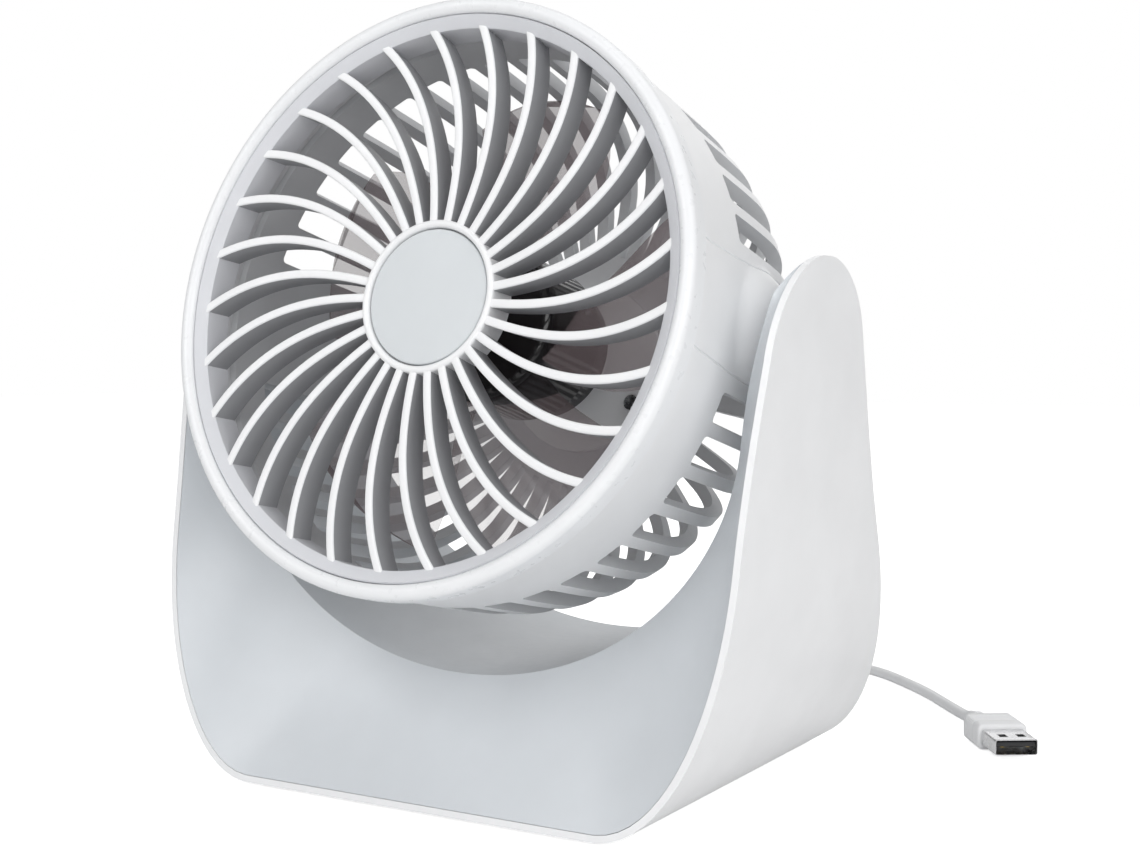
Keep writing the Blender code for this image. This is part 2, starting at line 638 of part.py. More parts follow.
def make_pivots(colours, head, base):
    """Pins fixed in the head, which turn in bushes held in the arms."""
    for side, word in ((1.0, "right"), (-1.0, "left")):
        turn = Matrix.Rotation(side * math.pi / 2, 4, "Y")
        pin = [(0.0, 70.5 * MM), (3.0 * MM, 70.5 * MM), (3.0 * MM, 85.2 * MM),
               (2.6 * MM, 85.6 * MM), (0.0, 85.6 * MM)]
        add_object(f"pivot_pin_{word}", transformed(turned(pin, 20), turn), colours["steel"], head)
        washer = cylinder(7.4 * MM, 79.3 * MM, 80.1 * MM, 20, 3.0 * MM + GAP)
        add_object(f"friction_washer_{word}", transformed(washer, turn), colours["rubber"], head)
        bush = [(3.0 * MM + RUNNING_FIT, 80.6 * MM), (4.0 * MM, 80.6 * MM), (4.0 * MM, 84.6 * MM),
                (3.0 * MM + RUNNING_FIT, 84.6 * MM)]
        made = add_object(f"pivot_bush_{word}", transformed(turned(bush, 20), turn), colours["bronze"], base)
        made.location = (0.0, PIVOT_Y, PIVOT_Z)


# Lead

def smooth_route(points, spacing):
    """A smooth curve through the route's own points, read at even steps."""
    padded = [points[0] * 2 - points[1]] + points + [points[-1] * 2 - points[-2]]
    fine = []
    for i in range(1, len(padded) - 2):
        a, b, c, d = padded[i - 1:i + 3]
        for step in range(16):
            t = step / 16
            fine.append(0.5 * (2 * b + (c - a) * t + (2 * a - 5 * b + 4 * c - d) * t * t
                               + (3 * b - a - 3 * c + d) * t ** 3))
    fine.append(points[-1])
    route = [fine[0]]
    travelled = 0.0
    for before, after in zip(fine, fine[1:]):
        travelled += (after - before).length
        if travelled >= spacing:
            route.append(after)
            travelled = 0.0
    if (route[-1] - fine[-1]).length < spacing / 2:
        route.pop()
    route.append(fine[-1])
    return route


def tube(name, route, paint, parent):
    curve = bpy.data.curves.new(name, "CURVE")
    curve.dimensions = "3D"
    curve.bevel_depth = CORD_RADIUS
    curve.bevel_resolution = 2
    curve.use_fill_caps = True
    spline = curve.splines.new("POLY")
    spline.points.add(len(route) - 1)
    for point, at in zip(spline.points, route):
        point.co = (*at, 1.0)
    curve.materials.append(paint)
    made = bpy.data.objects.new(name, curve)
    bpy.context.collection.objects.link(made)
    made.parent = parent
    return made


# Where the lead lies, in millimetres: from the gland down to the coil, and from the coil to the plug
START_ROUTE = [(30.0, 72.0, 6.6), (29.2, 79.5, 3.1), (24.5, 88.5, 2.1), (14.0, 96.5, 2.1),
               (-1.0, 102.0, 2.1), (-15.9, 105.7, 2.1)]
LEAD_ROUTE = [(-6.0, 163.3, 3.2), (8.0, 165.5, 2.2), (24.0, 164.5, 2.1), (40.0, 157.0, 2.1),
              (54.0, 144.5, 2.1), (66.5, 131.0, 2.1), (77.5, 117.0, 2.1), (87.0, 104.5, 2.4)]
PLUG_FROM = Vector((93.0, 96.0, 0.0)) * MM
PLUG_TO = Vector((122.0, 52.0, 0.0)) * MM
PLUG_HEIGHT = 4.1 * MM          # height of the plug's middle over the table


def make_lead(colours, parent):
    start = rear_point(*GLAND_AT, out=4.9 * MM)
    onward = rear_point(*GLAND_AT, out=9.0 * MM)
    route = [start, onward] + [Vector(point) * MM for point in START_ROUTE]
    tube("cord_start", smooth_route(route, 7 * MM), colours["cord"], parent)
    ring = arc_points((0.0, 0.0), 1.0, 0, 360, 8)[:-1]
    coil = [(COIL_MEAN_RADIUS + COIL_HALF_WIDTH * x, 0.2 * MM + COIL_HALF_HEIGHT * (1.0 + z)) for x, z in ring]
    add_object("cord_coil", turned(coil, 24), colours["cord"], parent, COIL_CENTRE)
    along = (PLUG_TO - PLUG_FROM).normalized()
    plug_centre = Vector((PLUG_FROM.x, PLUG_FROM.y, PLUG_HEIGHT))
    end = plug_centre - along * 0.3 * MM
    approach = plug_centre - along * 5 * MM + Vector((0, 0, -0.6 * MM))
    route = [Vector(point) * MM for point in LEAD_ROUTE] + [approach, end]
    tube("cord_lead", smooth_route(route, 7 * MM), colours["cord"], parent)
    make_plug(colours, parent, plug_centre, along)


def make_plug(colours, parent, at, along):
    """USB-A plug, its pieces one after another along local Z."""
    axis = empty("plug_axis", parent, at)
    axis.rotation_mode = "QUATERNION"
    axis.rotation_quaternion = Matrix((along.cross(Vector((0, 0, -1))), Vector((0, 0, 1)), along)).transposed() \
        .to_quaternion()
    relief = [(0.0, 0.0), (2.1 * MM, 0.0), (2.4 * MM, 0.5 * MM), (2.4 * MM, 9.0 * MM), (0.0, 9.0 * MM)]
    add_object("plug_relief", turned(relief, 20), colours["cord"], axis)
    body = block((14.2 * MM, 7.4 * MM, 15.0 * MM), (0, 0, 9.3 * MM + 7.5 * MM))
    rounded(add_object("plug_body", body, colours["cord"], axis, smooth=False), 1.0 * MM, 2)
    shell = add_object("plug_shell", block((12.0 * MM, 4.5 * MM, 12.0 * MM), (0, 0, 24.6 * MM + 6 * MM)),
                       colours["steel"], axis, smooth=False)
    mouth = add_object("shell_mouth", block((11.2 * MM, 3.8 * MM, 12.0 * MM), (0, 0, 24.6 * MM + 7 * MM)),
                       None, axis)
    boolean(shell, mouth)
    tongue = block((10.6 * MM, 1.7 * MM, 10.0 * MM), (0, 0.75 * MM, 26.0 * MM + 5 * MM))
    add_object("plug_tongue", tongue, colours["black"], axis, smooth=False)


def main():
    clear_scene()
    colours = {
        "white": material("white_plastic", (0.86, 0.87, 0.88), 0.32),
        "grey": material("light_grey_plastic", (0.62, 0.65, 0.68), 0.42),
        "smoke": material("smoky_plastic", (0.32, 0.27, 0.28), 0.08, alpha=0.45),
        "black": material("black_plastic", (0.02, 0.02, 0.022), 0.18),
        "steel": material("bright_steel", (0.75, 0.75, 0.76), 0.3, metallic=1.0),
        "iron": material("magnet_grey", (0.08, 0.08, 0.085), 0.6, metallic=0.6),
        "bronze": material("bearing_bronze", (0.62, 0.42, 0.2), 0.35, metallic=1.0),
        "copper": material("copper_windings", (0.72, 0.33, 0.16), 0.4, metallic=1.0),
        "rubber": material("grey_rubber", (0.2, 0.2, 0.21), 0.8),
        "lens": material("clear_lens", (0.7, 0.85, 0.95), 0.1, alpha=0.6),
        "board": material("circuit_green", (0.05, 0.24, 0.1), 0.5),
        "cord": material("white_cord", (0.85, 0.85, 0.85), 0.5),
    }
    fan = empty("fan", None, (0.0, BASE_Y, 0.0))
    head = empty("head_axis", fan, (0.0, PIVOT_Y, PIVOT_Z), math.pi / 2 - TILT)
    rotor = empty("rotor_axis", head)
    make_base_shell(colours["white"], fan)
    make_cradle(colours["grey"], fan)
    make_rear_panel(colours["grey"], fan)
    make_rear_fittings(colours, fan)
    make_bottom(colours, fan)
    make_drum(colours["white"], head)
    make_bezel(colours["white"], head)
    make_grille(colours["white"], head)
    make_badge(colours["grey"], head)
    make_motor(colours, head)
    make_rotor(colours, rotor)
    make_pivots(colours, head, fan)
    make_lead(colours, fan)


main()
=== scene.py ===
"""Looks of the small USB desk fan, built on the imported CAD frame.

Metres, +Z up, the front faces -Y. Pieces of the head are shaped about the head's own axis, whose
local Z points out of the grille, and are then set in place in the row frame.
"""
import bisect
import math

import bmesh
import bpy
from mathutils import Matrix, Vector


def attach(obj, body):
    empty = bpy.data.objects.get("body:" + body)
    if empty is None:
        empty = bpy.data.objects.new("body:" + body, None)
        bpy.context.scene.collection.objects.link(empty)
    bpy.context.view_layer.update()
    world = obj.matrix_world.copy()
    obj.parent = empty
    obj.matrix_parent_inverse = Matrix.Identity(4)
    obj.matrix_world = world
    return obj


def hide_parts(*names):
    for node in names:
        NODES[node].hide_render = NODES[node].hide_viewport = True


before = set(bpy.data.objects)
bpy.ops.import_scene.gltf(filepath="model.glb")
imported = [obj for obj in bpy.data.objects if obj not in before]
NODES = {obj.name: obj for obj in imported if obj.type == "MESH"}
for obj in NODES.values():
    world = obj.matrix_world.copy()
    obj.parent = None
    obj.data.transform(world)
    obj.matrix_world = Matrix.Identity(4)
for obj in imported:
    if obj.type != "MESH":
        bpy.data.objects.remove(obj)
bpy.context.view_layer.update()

MM = 0.001

# Base: the curves of part.py
BASE_Y = 7.16 * MM
FOOT_HEIGHT = 1.0 * MM
BASE_HALF_DEPTH = 61.0 * MM
FRONT_LEAN = 0.10
FRONT_LEAN_GROWTH = 0.526
REAR_LEAN = 0.42
TIP_CENTRE_Y = -15.0 * MM
TIP_CENTRE_Z = 106.0 * MM
TIP_RADIUS = 29.0 * MM
FRONT_TANGENT_Z = 112.0 * MM
REAR_TANGENT_Z = 117.2 * MM
TIP_TOP_Z = TIP_CENTRE_Z + TIP_RADIUS - 0.1 * MM
BEARING_Z = 110.0 * MM          # height that the half curves' bearings are taken about
ARM_FROM_Z = 112.0 * MM         # above this the base's sections go by height, not by bearing
BEARING_STEPS = 60
ARM_STEPS = 22
CURVE_STEPS = 70
SCOOP_FRONT_Y = -36.0 * MM
SCOOP_HOLLOW = 0.8 * MM
SCOOP_FULL_DEPTH = 30.0 * MM    # the hollow fades where the arm is less deep than this
RIM_WIDTH = 1.7 * MM            # white edge of the shell round the grey front
COVER_OPENING = 84.0 * MM       # side of the square opening under the base
REAR_TURN = math.atan(REAR_LEAN) - math.pi / 2
BUTTON_AT = (0.0, 15.0 * MM)
BUTTON_RADIUS = 6.0 * MM
LENS_AT = (11.5 * MM, 15.0 * MM)
LENS_HOLE = 1.8 * MM
GLAND_AT = (30.0 * MM, 12.0 * MM)
GLAND_HOLE = 3.9 * MM
HOLE_DEPTH = 6.0 * MM

# Head
PIVOT_Y = -15.5 * MM
PIVOT_Z = 117.2 * MM
TILT = math.radians(13.5)
FACE = 42.0 * MM
HEAD_RADIUS = 75.0 * MM
SEAM_RADIUS = 71.3 * MM
RIM_INNER_RADIUS = 67.7 * MM
HUB_RING_RADIUS = 19.4 * MM
BADGE_RADIUS = 17.1 * MM
DRUM_FRONT = 37.6 * MM
DRUM_WALL = 3.6 * MM
MOUTH_WALL = 1.9 * MM           # thinner, round the bezel's skirt
MOUTH_REAR = 27.0 * MM
DRUM_REAR = -47.0 * MM
SLOT_COUNT = 42
SLOT_PITCH = math.tau / SLOT_COUNT
SLOT_BAR = 3.4 * MM
SLOT_FRONT = 14.6 * MM
SLOT_CORNER = 1.4 * MM
SLOT_INNER = 34.0 * MM
SEAM_FRONT = 33.0 * MM          # where the pivot panel's seams start
SEAM_LENGTH = 63.0 * MM
SEAM_FRONT_DEGREES = 9.7
SEAM_WIDENING_DEGREES = 2.8
GROOVE_HALF = 0.16 * MM
GROOVE_DEPTH = 0.35 * MM
GROOVE_END = -36.0 * MM
GROOVE_COLUMNS = {18: -2.2, 19: -0.8, 20: 0.8, 21: 2.2}     # places across the groove, in half widths
PANEL_SHARES = 26               # columns on each side of a pivot panel's middle
BOSS_HEIGHT = 5.2 * MM
BOSS_FOOT_RADIUS = 17.0 * MM
BOSS_SLOPE = 10.0 * MM
RIB_COUNT = 29
RIB_SWEEP = math.radians(15.0)
RIB_PHASE = math.radians(6.4)
RIB_WIDTH = 2.2 * MM
RIB_DEPTH = 8.0 * MM
RIB_POINTS = 10                 # corners of a rib's cross-section
RIB_BOW = 1.8                   # power of the share of the radius that a rib sweeps with
BLADE_COUNT = 5
IMPELLER_RADIUS = 62.0 * MM
IMPELLER_HUB_RADIUS = 21.0 * MM
SHAFT_BORE = 1.8 * MM

# Lead
CORD_RADIUS = 1.7 * MM

# Camera and studio
CAMERA_AT = (0.23533, -0.37169, 0.11251)
CAMERA_TURN = (math.radians(87.33), 0.0, math.radians(30.76))
SENSOR_WIDTH = 36.0
CAMERA_LENS = 51.78947          # mm, on that sensor
WORLD_LIGHT = 0.36
WORLD_SEEN = 1.0                # level that the camera sees
FLOOR_HALF = 3.0
FLOOR_DROP = 0.05 * MM
FLOOR_GLOW = 0.75               # added for the camera only

# Where the head's and the base's pieces are placed
HEAD = Matrix.Translation((0.0, BASE_Y + PIVOT_Y, PIVOT_Z)) @ Matrix.Rotation(math.pi / 2 - TILT, 4, "X")
BASE = Matrix.Translation((0.0, BASE_Y, 0.0))


# Materials

def new_material(name):
    made = bpy.data.materials.new(name)
    made.use_nodes = True
    return made, made.node_tree, made.node_tree.nodes["Principled BSDF"]


def noise(tree, scale, detail=2.0, stretch=None):
    """Noise in the piece's own coordinates, in metres."""
    place = tree.nodes.new("ShaderNodeTexCoord")
    source = place.outputs["Object"]
    if stretch:
        mapping = tree.nodes.new("ShaderNodeMapping")
        mapping.inputs["Scale"].default_value = stretch
        tree.links.new(source, mapping.inputs["Vector"])
        source = mapping.outputs["Vector"]
    made = tree.nodes.new("ShaderNodeTexNoise")
    made.inputs["Scale"].default_value = scale
    made.inputs["Detail"].default_value = detail
    tree.links.new(source, made.inputs["Vector"])
    return made.outputs["Fac"]


def spread(tree, source, low, high):
    """The source's middle range, mapped to low..high."""
    made = tree.nodes.new("ShaderNodeMapRange")
    made.inputs["From Min"].default_value = 0.3
    made.inputs["From Max"].default_value = 0.7
    made.inputs["To Min"].default_value = low
    made.inputs["To Max"].default_value = high
    tree.links.new(source, made.inputs["Value"])
    return made.outputs["Result"]


def blend_colours(tree, factor, first, second):
    made = tree.nodes.new("ShaderNodeMix")
    made.data_type = "RGBA"
    made.inputs["A"].default_value = (*first, 1.0)
    made.inputs["B"].default_value = (*second, 1.0)
    tree.links.new(factor, made.inputs["Factor"])
    return made.outputs["Result"]


def bumped(tree, shader, height, strength, distance, below=None):
    made = tree.nodes.new("ShaderNodeBump")
    made.inputs["Strength"].default_value = strength
    made.inputs["Distance"].default_value = distance
    tree.links.new(height, made.inputs["Height"])
    if below:
        tree.links.new(below, made.inputs["Normal"])
    tree.links.new(made.outputs["Normal"], shader.inputs["Normal"])
    return made.outputs["Normal"]


def tinted(colour, share):
    return tuple(min(max(c * share, 0.0), 1.0) for c in colour)


def plastic(name, colour, roughness, grain=5200.0, bump=0.22, variation=0.02, coat=0.0, specular=0.5):
    """Moulded plastic: fine spark-eroded grain, slow tone changes and uneven gloss."""
    made, tree, shader = new_material(name)
    slow = noise(tree, 55.0, 3.0)
    colours = blend_colours(tree, spread(tree, slow, 0.0, 1.0),
                            tinted(colour, 1.0 - variation), tinted(colour, 1.0 + variation))
    tree.links.new(colours, shader.inputs["Base Color"])
    gloss = noise(tree, 420.0, 4.0)
    tree.links.new(spread(tree, gloss, roughness * 0.86, roughness * 1.16), shader.inputs["Roughness"])
    waves = bumped(tree, shader, noise(tree, 38.0, 1.0), 0.12, 0.0002)
    bumped(tree, shader, noise(tree, grain, 3.0), bump, 0.00003, waves)
    shader.inputs["Coat Weight"].default_value = coat
    shader.inputs["Coat Roughness"].default_value = 0.12
    shader.inputs["Specular IOR Level"].default_value = specular
    shader.inputs["IOR"].default_value = 1.5
    return made


def metal(name, colour, roughness):
    """Bright metal with fine drawn or turned lines."""
    made, tree, shader = new_material(name)
    lines = noise(tree, 2600.0, 3.0, (1.0, 1.0, 14.0))
    colours = blend_colours(tree, lines, tinted(colour, 0.86), tinted(colour, 1.06))
    tree.links.new(colours, shader.inputs["Base Color"])
    tree.links.new(spread(tree, noise(tree, 700.0, 3.0), roughness * 0.75, roughness * 1.3),
                   shader.inputs["Roughness"])
    bumped(tree, shader, lines, 0.2, 0.00002)
    shader.inputs["Metallic"].default_value = 1.0
    return made


def smoky(name, colour, clear, edge):
    """See-through tinted plastic, darker where it is seen edge on."""
    made, tree, shader = new_material(name)
    cloud = noise(tree, 70.0, 3.0)
    tree.links.new(blend_colours(tree, cloud, tinted(colour, 0.82), tinted(colour, 1.15)),
                   shader.inputs["Base Color"])
    facing = tree.nodes.new("ShaderNodeLayerWeight")
    facing.inputs["Blend"].default_value = 0.32
    share = tree.nodes.new("ShaderNodeMapRange")
    share.inputs["To Min"].default_value = clear
    share.inputs["To Max"].default_value = edge
    tree.links.new(facing.outputs["Facing"], share.inputs["Value"])
    tree.links.new(share.outputs["Result"], shader.inputs["Alpha"])
    tree.links.new(spread(tree, noise(tree, 300.0, 2.0), 0.05, 0.11), shader.inputs["Roughness"])
    bumped(tree, shader, noise(tree, 60.0, 2.0), 0.1, 0.0002)
    shader.inputs["IOR"].default_value = 1.5
    return made


PAINT = {
    "white": plastic("moulded_white", (0.86, 0.865, 0.875), 0.34),
    "satin": plastic("satin_white", (0.84, 0.85, 0.865), 0.3, grain=6500.0, bump=0.14),
    "ribs": plastic("grille_white", (0.87, 0.875, 0.885), 0.36, grain=6000.0, bump=0.16),
    # darker grey for the sides and backs of the white ribs: painted shade between the ribs
    "shade": plastic("grille_side_painted_shade", (0.33, 0.335, 0.35), 0.42),
    # greyer inner faces of the white housing: painted shade inside the housing
    "inside": plastic("housing_inside_painted_shade", (0.68, 0.69, 0.705), 0.45),
    "ring": plastic("ring_grey", (0.66, 0.67, 0.70), 0.4),
    "grey": plastic("light_grey", (0.655, 0.685, 0.715), 0.34),
    "badge": plastic("badge_grey", (0.66, 0.69, 0.71), 0.5, grain=3800.0, bump=0.3),
    "smoke": smoky("smoky_plastic", (0.34, 0.265, 0.275), 0.24, 0.9),
    "hub": smoky("smoky_hub", (0.012, 0.01, 0.011), 0.9, 1.0),
    "gloss": plastic("gloss_black", (0.012, 0.011, 0.012), 0.09, bump=0.04, coat=0.6),
    "black": plastic("black_nylon", (0.02, 0.02, 0.022), 0.4),
    "steel": metal("drawn_steel", (0.74, 0.74, 0.75), 0.24),
    "iron": metal("magnet_iron", (0.16, 0.16, 0.17), 0.5),
    "bronze": metal("sintered_bronze", (0.56, 0.37, 0.18), 0.42),
    "gold": metal("contact_gold", (0.82, 0.62, 0.24), 0.22),
    "rubber": plastic("foot_rubber", (0.17, 0.17, 0.18), 0.82, grain=2600.0, bump=0.6, specular=0.25),
    "cord": plastic("cord_white", (0.85, 0.855, 0.865), 0.42, grain=3000.0, bump=0.3),
    "lens": smoky("clear_lens_look", (0.55, 0.7, 0.8), 0.35, 0.8),
    "board": plastic("board_green", (0.03, 0.19, 0.08), 0.35, grain=1500.0, bump=0.5),
}

NODE_PAINT = {
    "base_shell": "white", "cradle": "grey", "rear_panel": "grey", "bottom_cover": "grey",
    "drum_housing": "white", "front_bezel": "white", "front_grille": "ribs", "grille_badge": "badge",
    "motor_bracket": "white", "motor_stator": "black", "impeller": "smoke", "rotor_can": "gloss",
    "rotor_magnet": "iron", "motor_shaft": "steel", "bearing_front": "bronze", "bearing_rear": "iron",
    "circuit_board": "board", "tact_switch": "black", "button_cap": "white", "indicator_lens": "lens",
    "cord_gland": "cord", "plug_relief": "cord", "plug_body": "cord", "plug_shell": "steel",
    "plug_tongue": "black",
}


def paint_node(name):
    """A CAD node's own faces take a detailed finish."""
    key = NODE_PAINT.get(name)
    if key is None:
        key = "rubber" if name.startswith(("foot", "friction")) else "steel"
        if name.startswith("pivot_bush"):
            key = "grey"
        if name.startswith("cord"):
            key = "cord"
    target = NODES[name]
    if not target.material_slots:
        target.data.materials.append(PAINT[key])
    for place in target.material_slots:
        place.material = PAINT[key]


# Mesh helpers

def rounded_edges(made, width, segments, angle):
    step = made.modifiers.new("Rounded edges", "BEVEL")
    step.width = width
    step.segments = segments
    step.limit_method = "ANGLE"
    step.angle_limit = math.radians(angle)
    step.use_clamp_overlap = True
    step.harden_normals = True


def box(low, high):
    corners = [(x, y, z) for x in (low[0], high[0]) for y in (low[1], high[1]) for z in (low[2], high[2])]
    return corners, [(0, 1, 3, 2), (4, 6, 7, 5), (0, 4, 5, 1), (2, 3, 7, 6), (0, 2, 6, 4), (1, 5, 7, 3)]


def cut_out(target, part, place):
    """Takes a closed form, set in the row frame by a matrix, out of a piece's mesh."""
    mesh = bpy.data.meshes.new("cutter")
    mesh.from_pydata(part[0], [], part[1])
    mesh.transform(place)
    cutter = bpy.data.objects.new("cutter", mesh)
    bpy.context.scene.collection.objects.link(cutter)
    step = target.modifiers.new("Opening", "BOOLEAN")
    step.operation = "DIFFERENCE"
    step.solver = "EXACT"
    step.object = cutter
    bpy.context.view_layer.update()
    cut = bpy.data.meshes.new_from_object(target.evaluated_get(bpy.context.evaluated_depsgraph_get()))
    cut.name = target.name
    target.modifiers.clear()
    target.data = cut
    cut.set_sharp_from_angle(angle=math.radians(35.0))
    bpy.data.objects.remove(cutter)


def piece(name, verts, faces, body, finish, stands_for=(), slot=None, place=None, sharp=35.0,
          bevel=0.0, segments=2, bevel_angle=40.0, tones=None):
    """A new piece from plain vertices and faces, set in the row frame by a matrix.

    finish is a paint or several, and tones then gives each face's paint.
    """
    mesh = bpy.data.meshes.new(name)
    mesh.from_pydata([tuple(v) for v in verts], [], faces)
    if tones:
        mesh.polygons.foreach_set("material_index", tones)
    if place is not None:
        mesh.transform(place)
    bm = bmesh.new()
    bm.from_mesh(mesh)
    bmesh.ops.remove_doubles(bm, verts=bm.verts, dist=0.000001)
    bmesh.ops.recalc_face_normals(bm, faces=bm.faces)
    bm.to_mesh(mesh)
    bm.free()
    mesh.shade_smooth()
    mesh.set_sharp_from_angle(angle=math.radians(sharp))
    for one in finish if isinstance(finish, (list, tuple)) else [finish]:
        mesh.materials.append(PAINT[one])
    made = bpy.data.objects.new(name, mesh)
    bpy.context.scene.collection.objects.link(made)
    if bevel:
        rounded_edges(made, bevel, segments, bevel_angle)
    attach(made, body)
    if stands_for:
        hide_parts(*stands_for)
    return made


def turned(profile, steps):
    """Vertices and faces of a closed outline of (radius, height) points, spun about Z."""
    verts, faces = [], []
    count = len(profile)
    for step in range(steps):
        angle = math.tau * step / steps
        for radius, height in profile:
            verts.append((radius * math.cos(angle), radius * math.sin(angle), height))
    for step in range(steps):
        here, there = step * count, (step + 1) % steps * count
        for i in range(count):
            j = (i + 1) % count
            if profile[i][0] == 0.0 and profile[j][0] == 0.0:
                continue
            face = [here + i, here + j, there + j, there + i]
            if profile[i][0] == 0.0:
                face = [here + i, here + j, there + j]
            elif profile[j][0] == 0.0:
                face = [here + i, here + j, there + i]
            faces.append(face)
    return verts, faces


def lofted(sections):
    """Vertices and faces through closed sections with equal point counts, capped at both ends."""
    verts = [point for section in sections for point in section]
    count = len(sections[0])
    faces = []
    for step in range(len(sections) - 1):
        low, high = step * count, (step + 1) * count
        for i in range(count):
            j = (i + 1) % count
            faces.append([low + i, low + j, high + j, high + i])
    faces.append(list(range(count))[::-1])
    faces.append([(len(sections) - 1) * count + i for i in range(count)])
    return verts, faces


def joined(parts):
    """Several (vertices, faces) pairs as one."""
    verts, faces = [], []
    for more_verts, more_faces in parts:
        shift = len(verts)
        verts += list(more_verts)
        faces += [[shift + i for i in face] for face in more_faces]
    return verts, faces


def pierced_wall(outer, inner, kept):
    """A closed wall between two grids of points, with an opening where kept(row, column) is false."""
    rows, columns = len(outer), len(outer[0])
    verts = [p for row in outer for p in row] + [p for row in inner for p in row]
    half = rows * columns

    def at(row, column):
        return row * columns + column % columns

    def solid(row, column):
        if not 0 <= row < rows - 1:
            return False
        return kept(row, column % columns)

    faces = []
    for row in range(rows - 1):
        for column in range(columns):
            if not solid(row, column):
                continue
            corners = [at(row, column), at(row, column + 1), at(row + 1, column + 1), at(row + 1, column)]
            faces.append(corners)
            faces.append([half + i for i in reversed(corners)])
            sides = (((row - 1, column), (corners[0], corners[1])),
                     ((row + 1, column), (corners[2], corners[3])),
                     ((row, column - 1), (corners[3], corners[0])),
                     ((row, column + 1), (corners[1], corners[2])))
            for (r, c), (a, b) in sides:
                if not solid(r, c):
                    faces.append([b, a, half + a, half + b])
    return verts, faces


def bezier(start, handle_a, handle_b, end, steps):
    points = []
    for step in range(steps + 1):
        t = step / steps
        s = 1.0 - t
        weights = (s ** 3, 3 * s * s * t, 3 * s * t * t, t ** 3)
        corners = (start, handle_a, handle_b, end)
        points.append(tuple(sum(w * c[i] for w, c in zip(weights, corners)) for i in (0, 1)))
    return points


def arc(centre, radius, start, end, steps):
    points = []
    for step in range(steps + 1):
        angle = math.radians(start + (end - start) * step / steps)
        points.append((centre[0] + radius * math.cos(angle), centre[1] + radius * math.sin(angle)))
    return points


def smoothed(value):
    value = min(max(value, 0.0), 1.0)
    return value * value * (3.0 - 2.0 * value)


# The base's curves, seen from the front: x outwards, z up

def outer_curve(steps):
    corner = bezier((51.3 * MM, FOOT_HEIGHT), (69.5 * MM, FOOT_HEIGHT),
                    (83.2 * MM, 29 * MM), (84.4 * MM, 64 * MM), steps)
    arm = bezier((84.4 * MM, 64 * MM), (85.2 * MM, 87 * MM),
                 (87.8 * MM, 112 * MM), (89.8 * MM, 136 * MM), steps)
    flat = [(51.3 * MM * i / 12, FOOT_HEIGHT) for i in range(12)]
    return flat + corner + arm[1:]


def trough_curve(steps):
    bowl = bezier((0.0, 30.4 * MM), (42.0 * MM, 30.4 * MM),
                  (74.0 * MM, 58 * MM), (77.0 * MM, 92 * MM), steps)
    arm = bezier((77.0 * MM, 92 * MM), (78.4 * MM, 106 * MM),
                 (81.7 * MM, 119 * MM), (88.8 * MM, 136 * MM), steps)
    return bowl + arm[1:]


def offset_inwards(points, distance):
    shifted = []
    for i, (x, z) in enumerate(points):
        before = points[max(i - 1, 0)]
        after = points[min(i + 1, len(points) - 1)]
        along = Vector((after[0] - before[0], after[1] - before[1])).normalized()
        shifted.append((max(x - along.y * distance, 0.0), z + along.x * distance))
    return shifted


def tip_offset(z):
    return math.sqrt(max(TIP_RADIUS ** 2 - (z - TIP_CENTRE_Z) ** 2, 0.0))


def front_y(z):
    if z > FRONT_TANGENT_Z:
        return TIP_CENTRE_Y - tip_offset(z)
    return -BASE_HALF_DEPTH + FRONT_LEAN * z + FRONT_LEAN_GROWTH * z * z


def rear_y(z):
    if z > REAR_TANGENT_Z:
        return TIP_CENTRE_Y + tip_offset(z)
    return BASE_HALF_DEPTH - REAR_LEAN * z


def bearing_angle(point):
    return math.atan2(point[1] - BEARING_Z, point[0])


def crossing(points, angle):
    """Point where a half curve passes a given bearing."""
    angles = [bearing_angle(point) for point in points]
    i = min(max(bisect.bisect_left(angles, angle), 1), len(points) - 1)
    share = (angle - angles[i - 1]) / (angles[i] - angles[i - 1])
    low, high = points[i - 1], points[i]
    return (low[0] + (high[0] - low[0]) * share, low[1] + (high[1] - low[1]) * share)


def crossing_at_height(points, z):
    for low, high in zip(points, points[1:]):
        if low[1] <= z <= high[1] and high[1] > low[1]:
            share = (z - low[1]) / (high[1] - low[1])
            return (low[0] + (high[0] - low[0]) * share, z)
    return points[-1]


def both_sides(sections):
    left = [[(-x, y, z) for x, y, z in section] for section in reversed(sections[1:])]
    return left + sections


def rear_point(x, z, out=0.0):
    normal = Vector((0.0, 1.0, REAR_LEAN)).normalized()
    return Vector((x, rear_y(z) - 0.3 * MM, z)) + normal * out


def rear_place(at):
    """Sets local Z square to the back, outwards, at a place given by x and z."""
    return BASE @ Matrix.Translation(rear_point(*at)) @ Matrix.Rotation(REAR_TURN, 4, "X")


# Base

OUTER = outer_curve(CURVE_STEPS)
TROUGH = trough_curve(CURVE_STEPS)
SHELL_INSIDE = offset_inwards(OUTER, RIM_WIDTH)


def stations():
    """Even bearings from straight down to the upper part of the right arm."""
    top = bearing_angle(crossing_at_height(TROUGH, ARM_FROM_Z))
    return [-math.pi / 2 + (top + math.pi / 2) * i / BEARING_STEPS for i in range(BEARING_STEPS + 1)]


def arm_heights():
    """Heights from above the last bearing to the very tip, closer together near the tip."""
    rise = TIP_TOP_Z - ARM_FROM_Z
    return [ARM_FROM_Z + rise * math.sin(math.pi / 2 * i / ARM_STEPS) for i in range(1, ARM_STEPS + 1)]


def base_pairs(outside, inside):
    """Matching outer and inner points for the whole right half."""
    pairs = [(crossing(outside, angle), crossing(inside, angle)) for angle in stations()]
    low_outer, low_inner = pairs[-1]
    for i, z in enumerate(arm_heights(), 1):
        outer = crossing_at_height(outside, max(z, low_outer[1] + 0.02 * MM * i))
        inner = crossing_at_height(inside, max(z, low_inner[1] + 0.02 * MM * i))
        pairs.append((outer, inner))
    return pairs


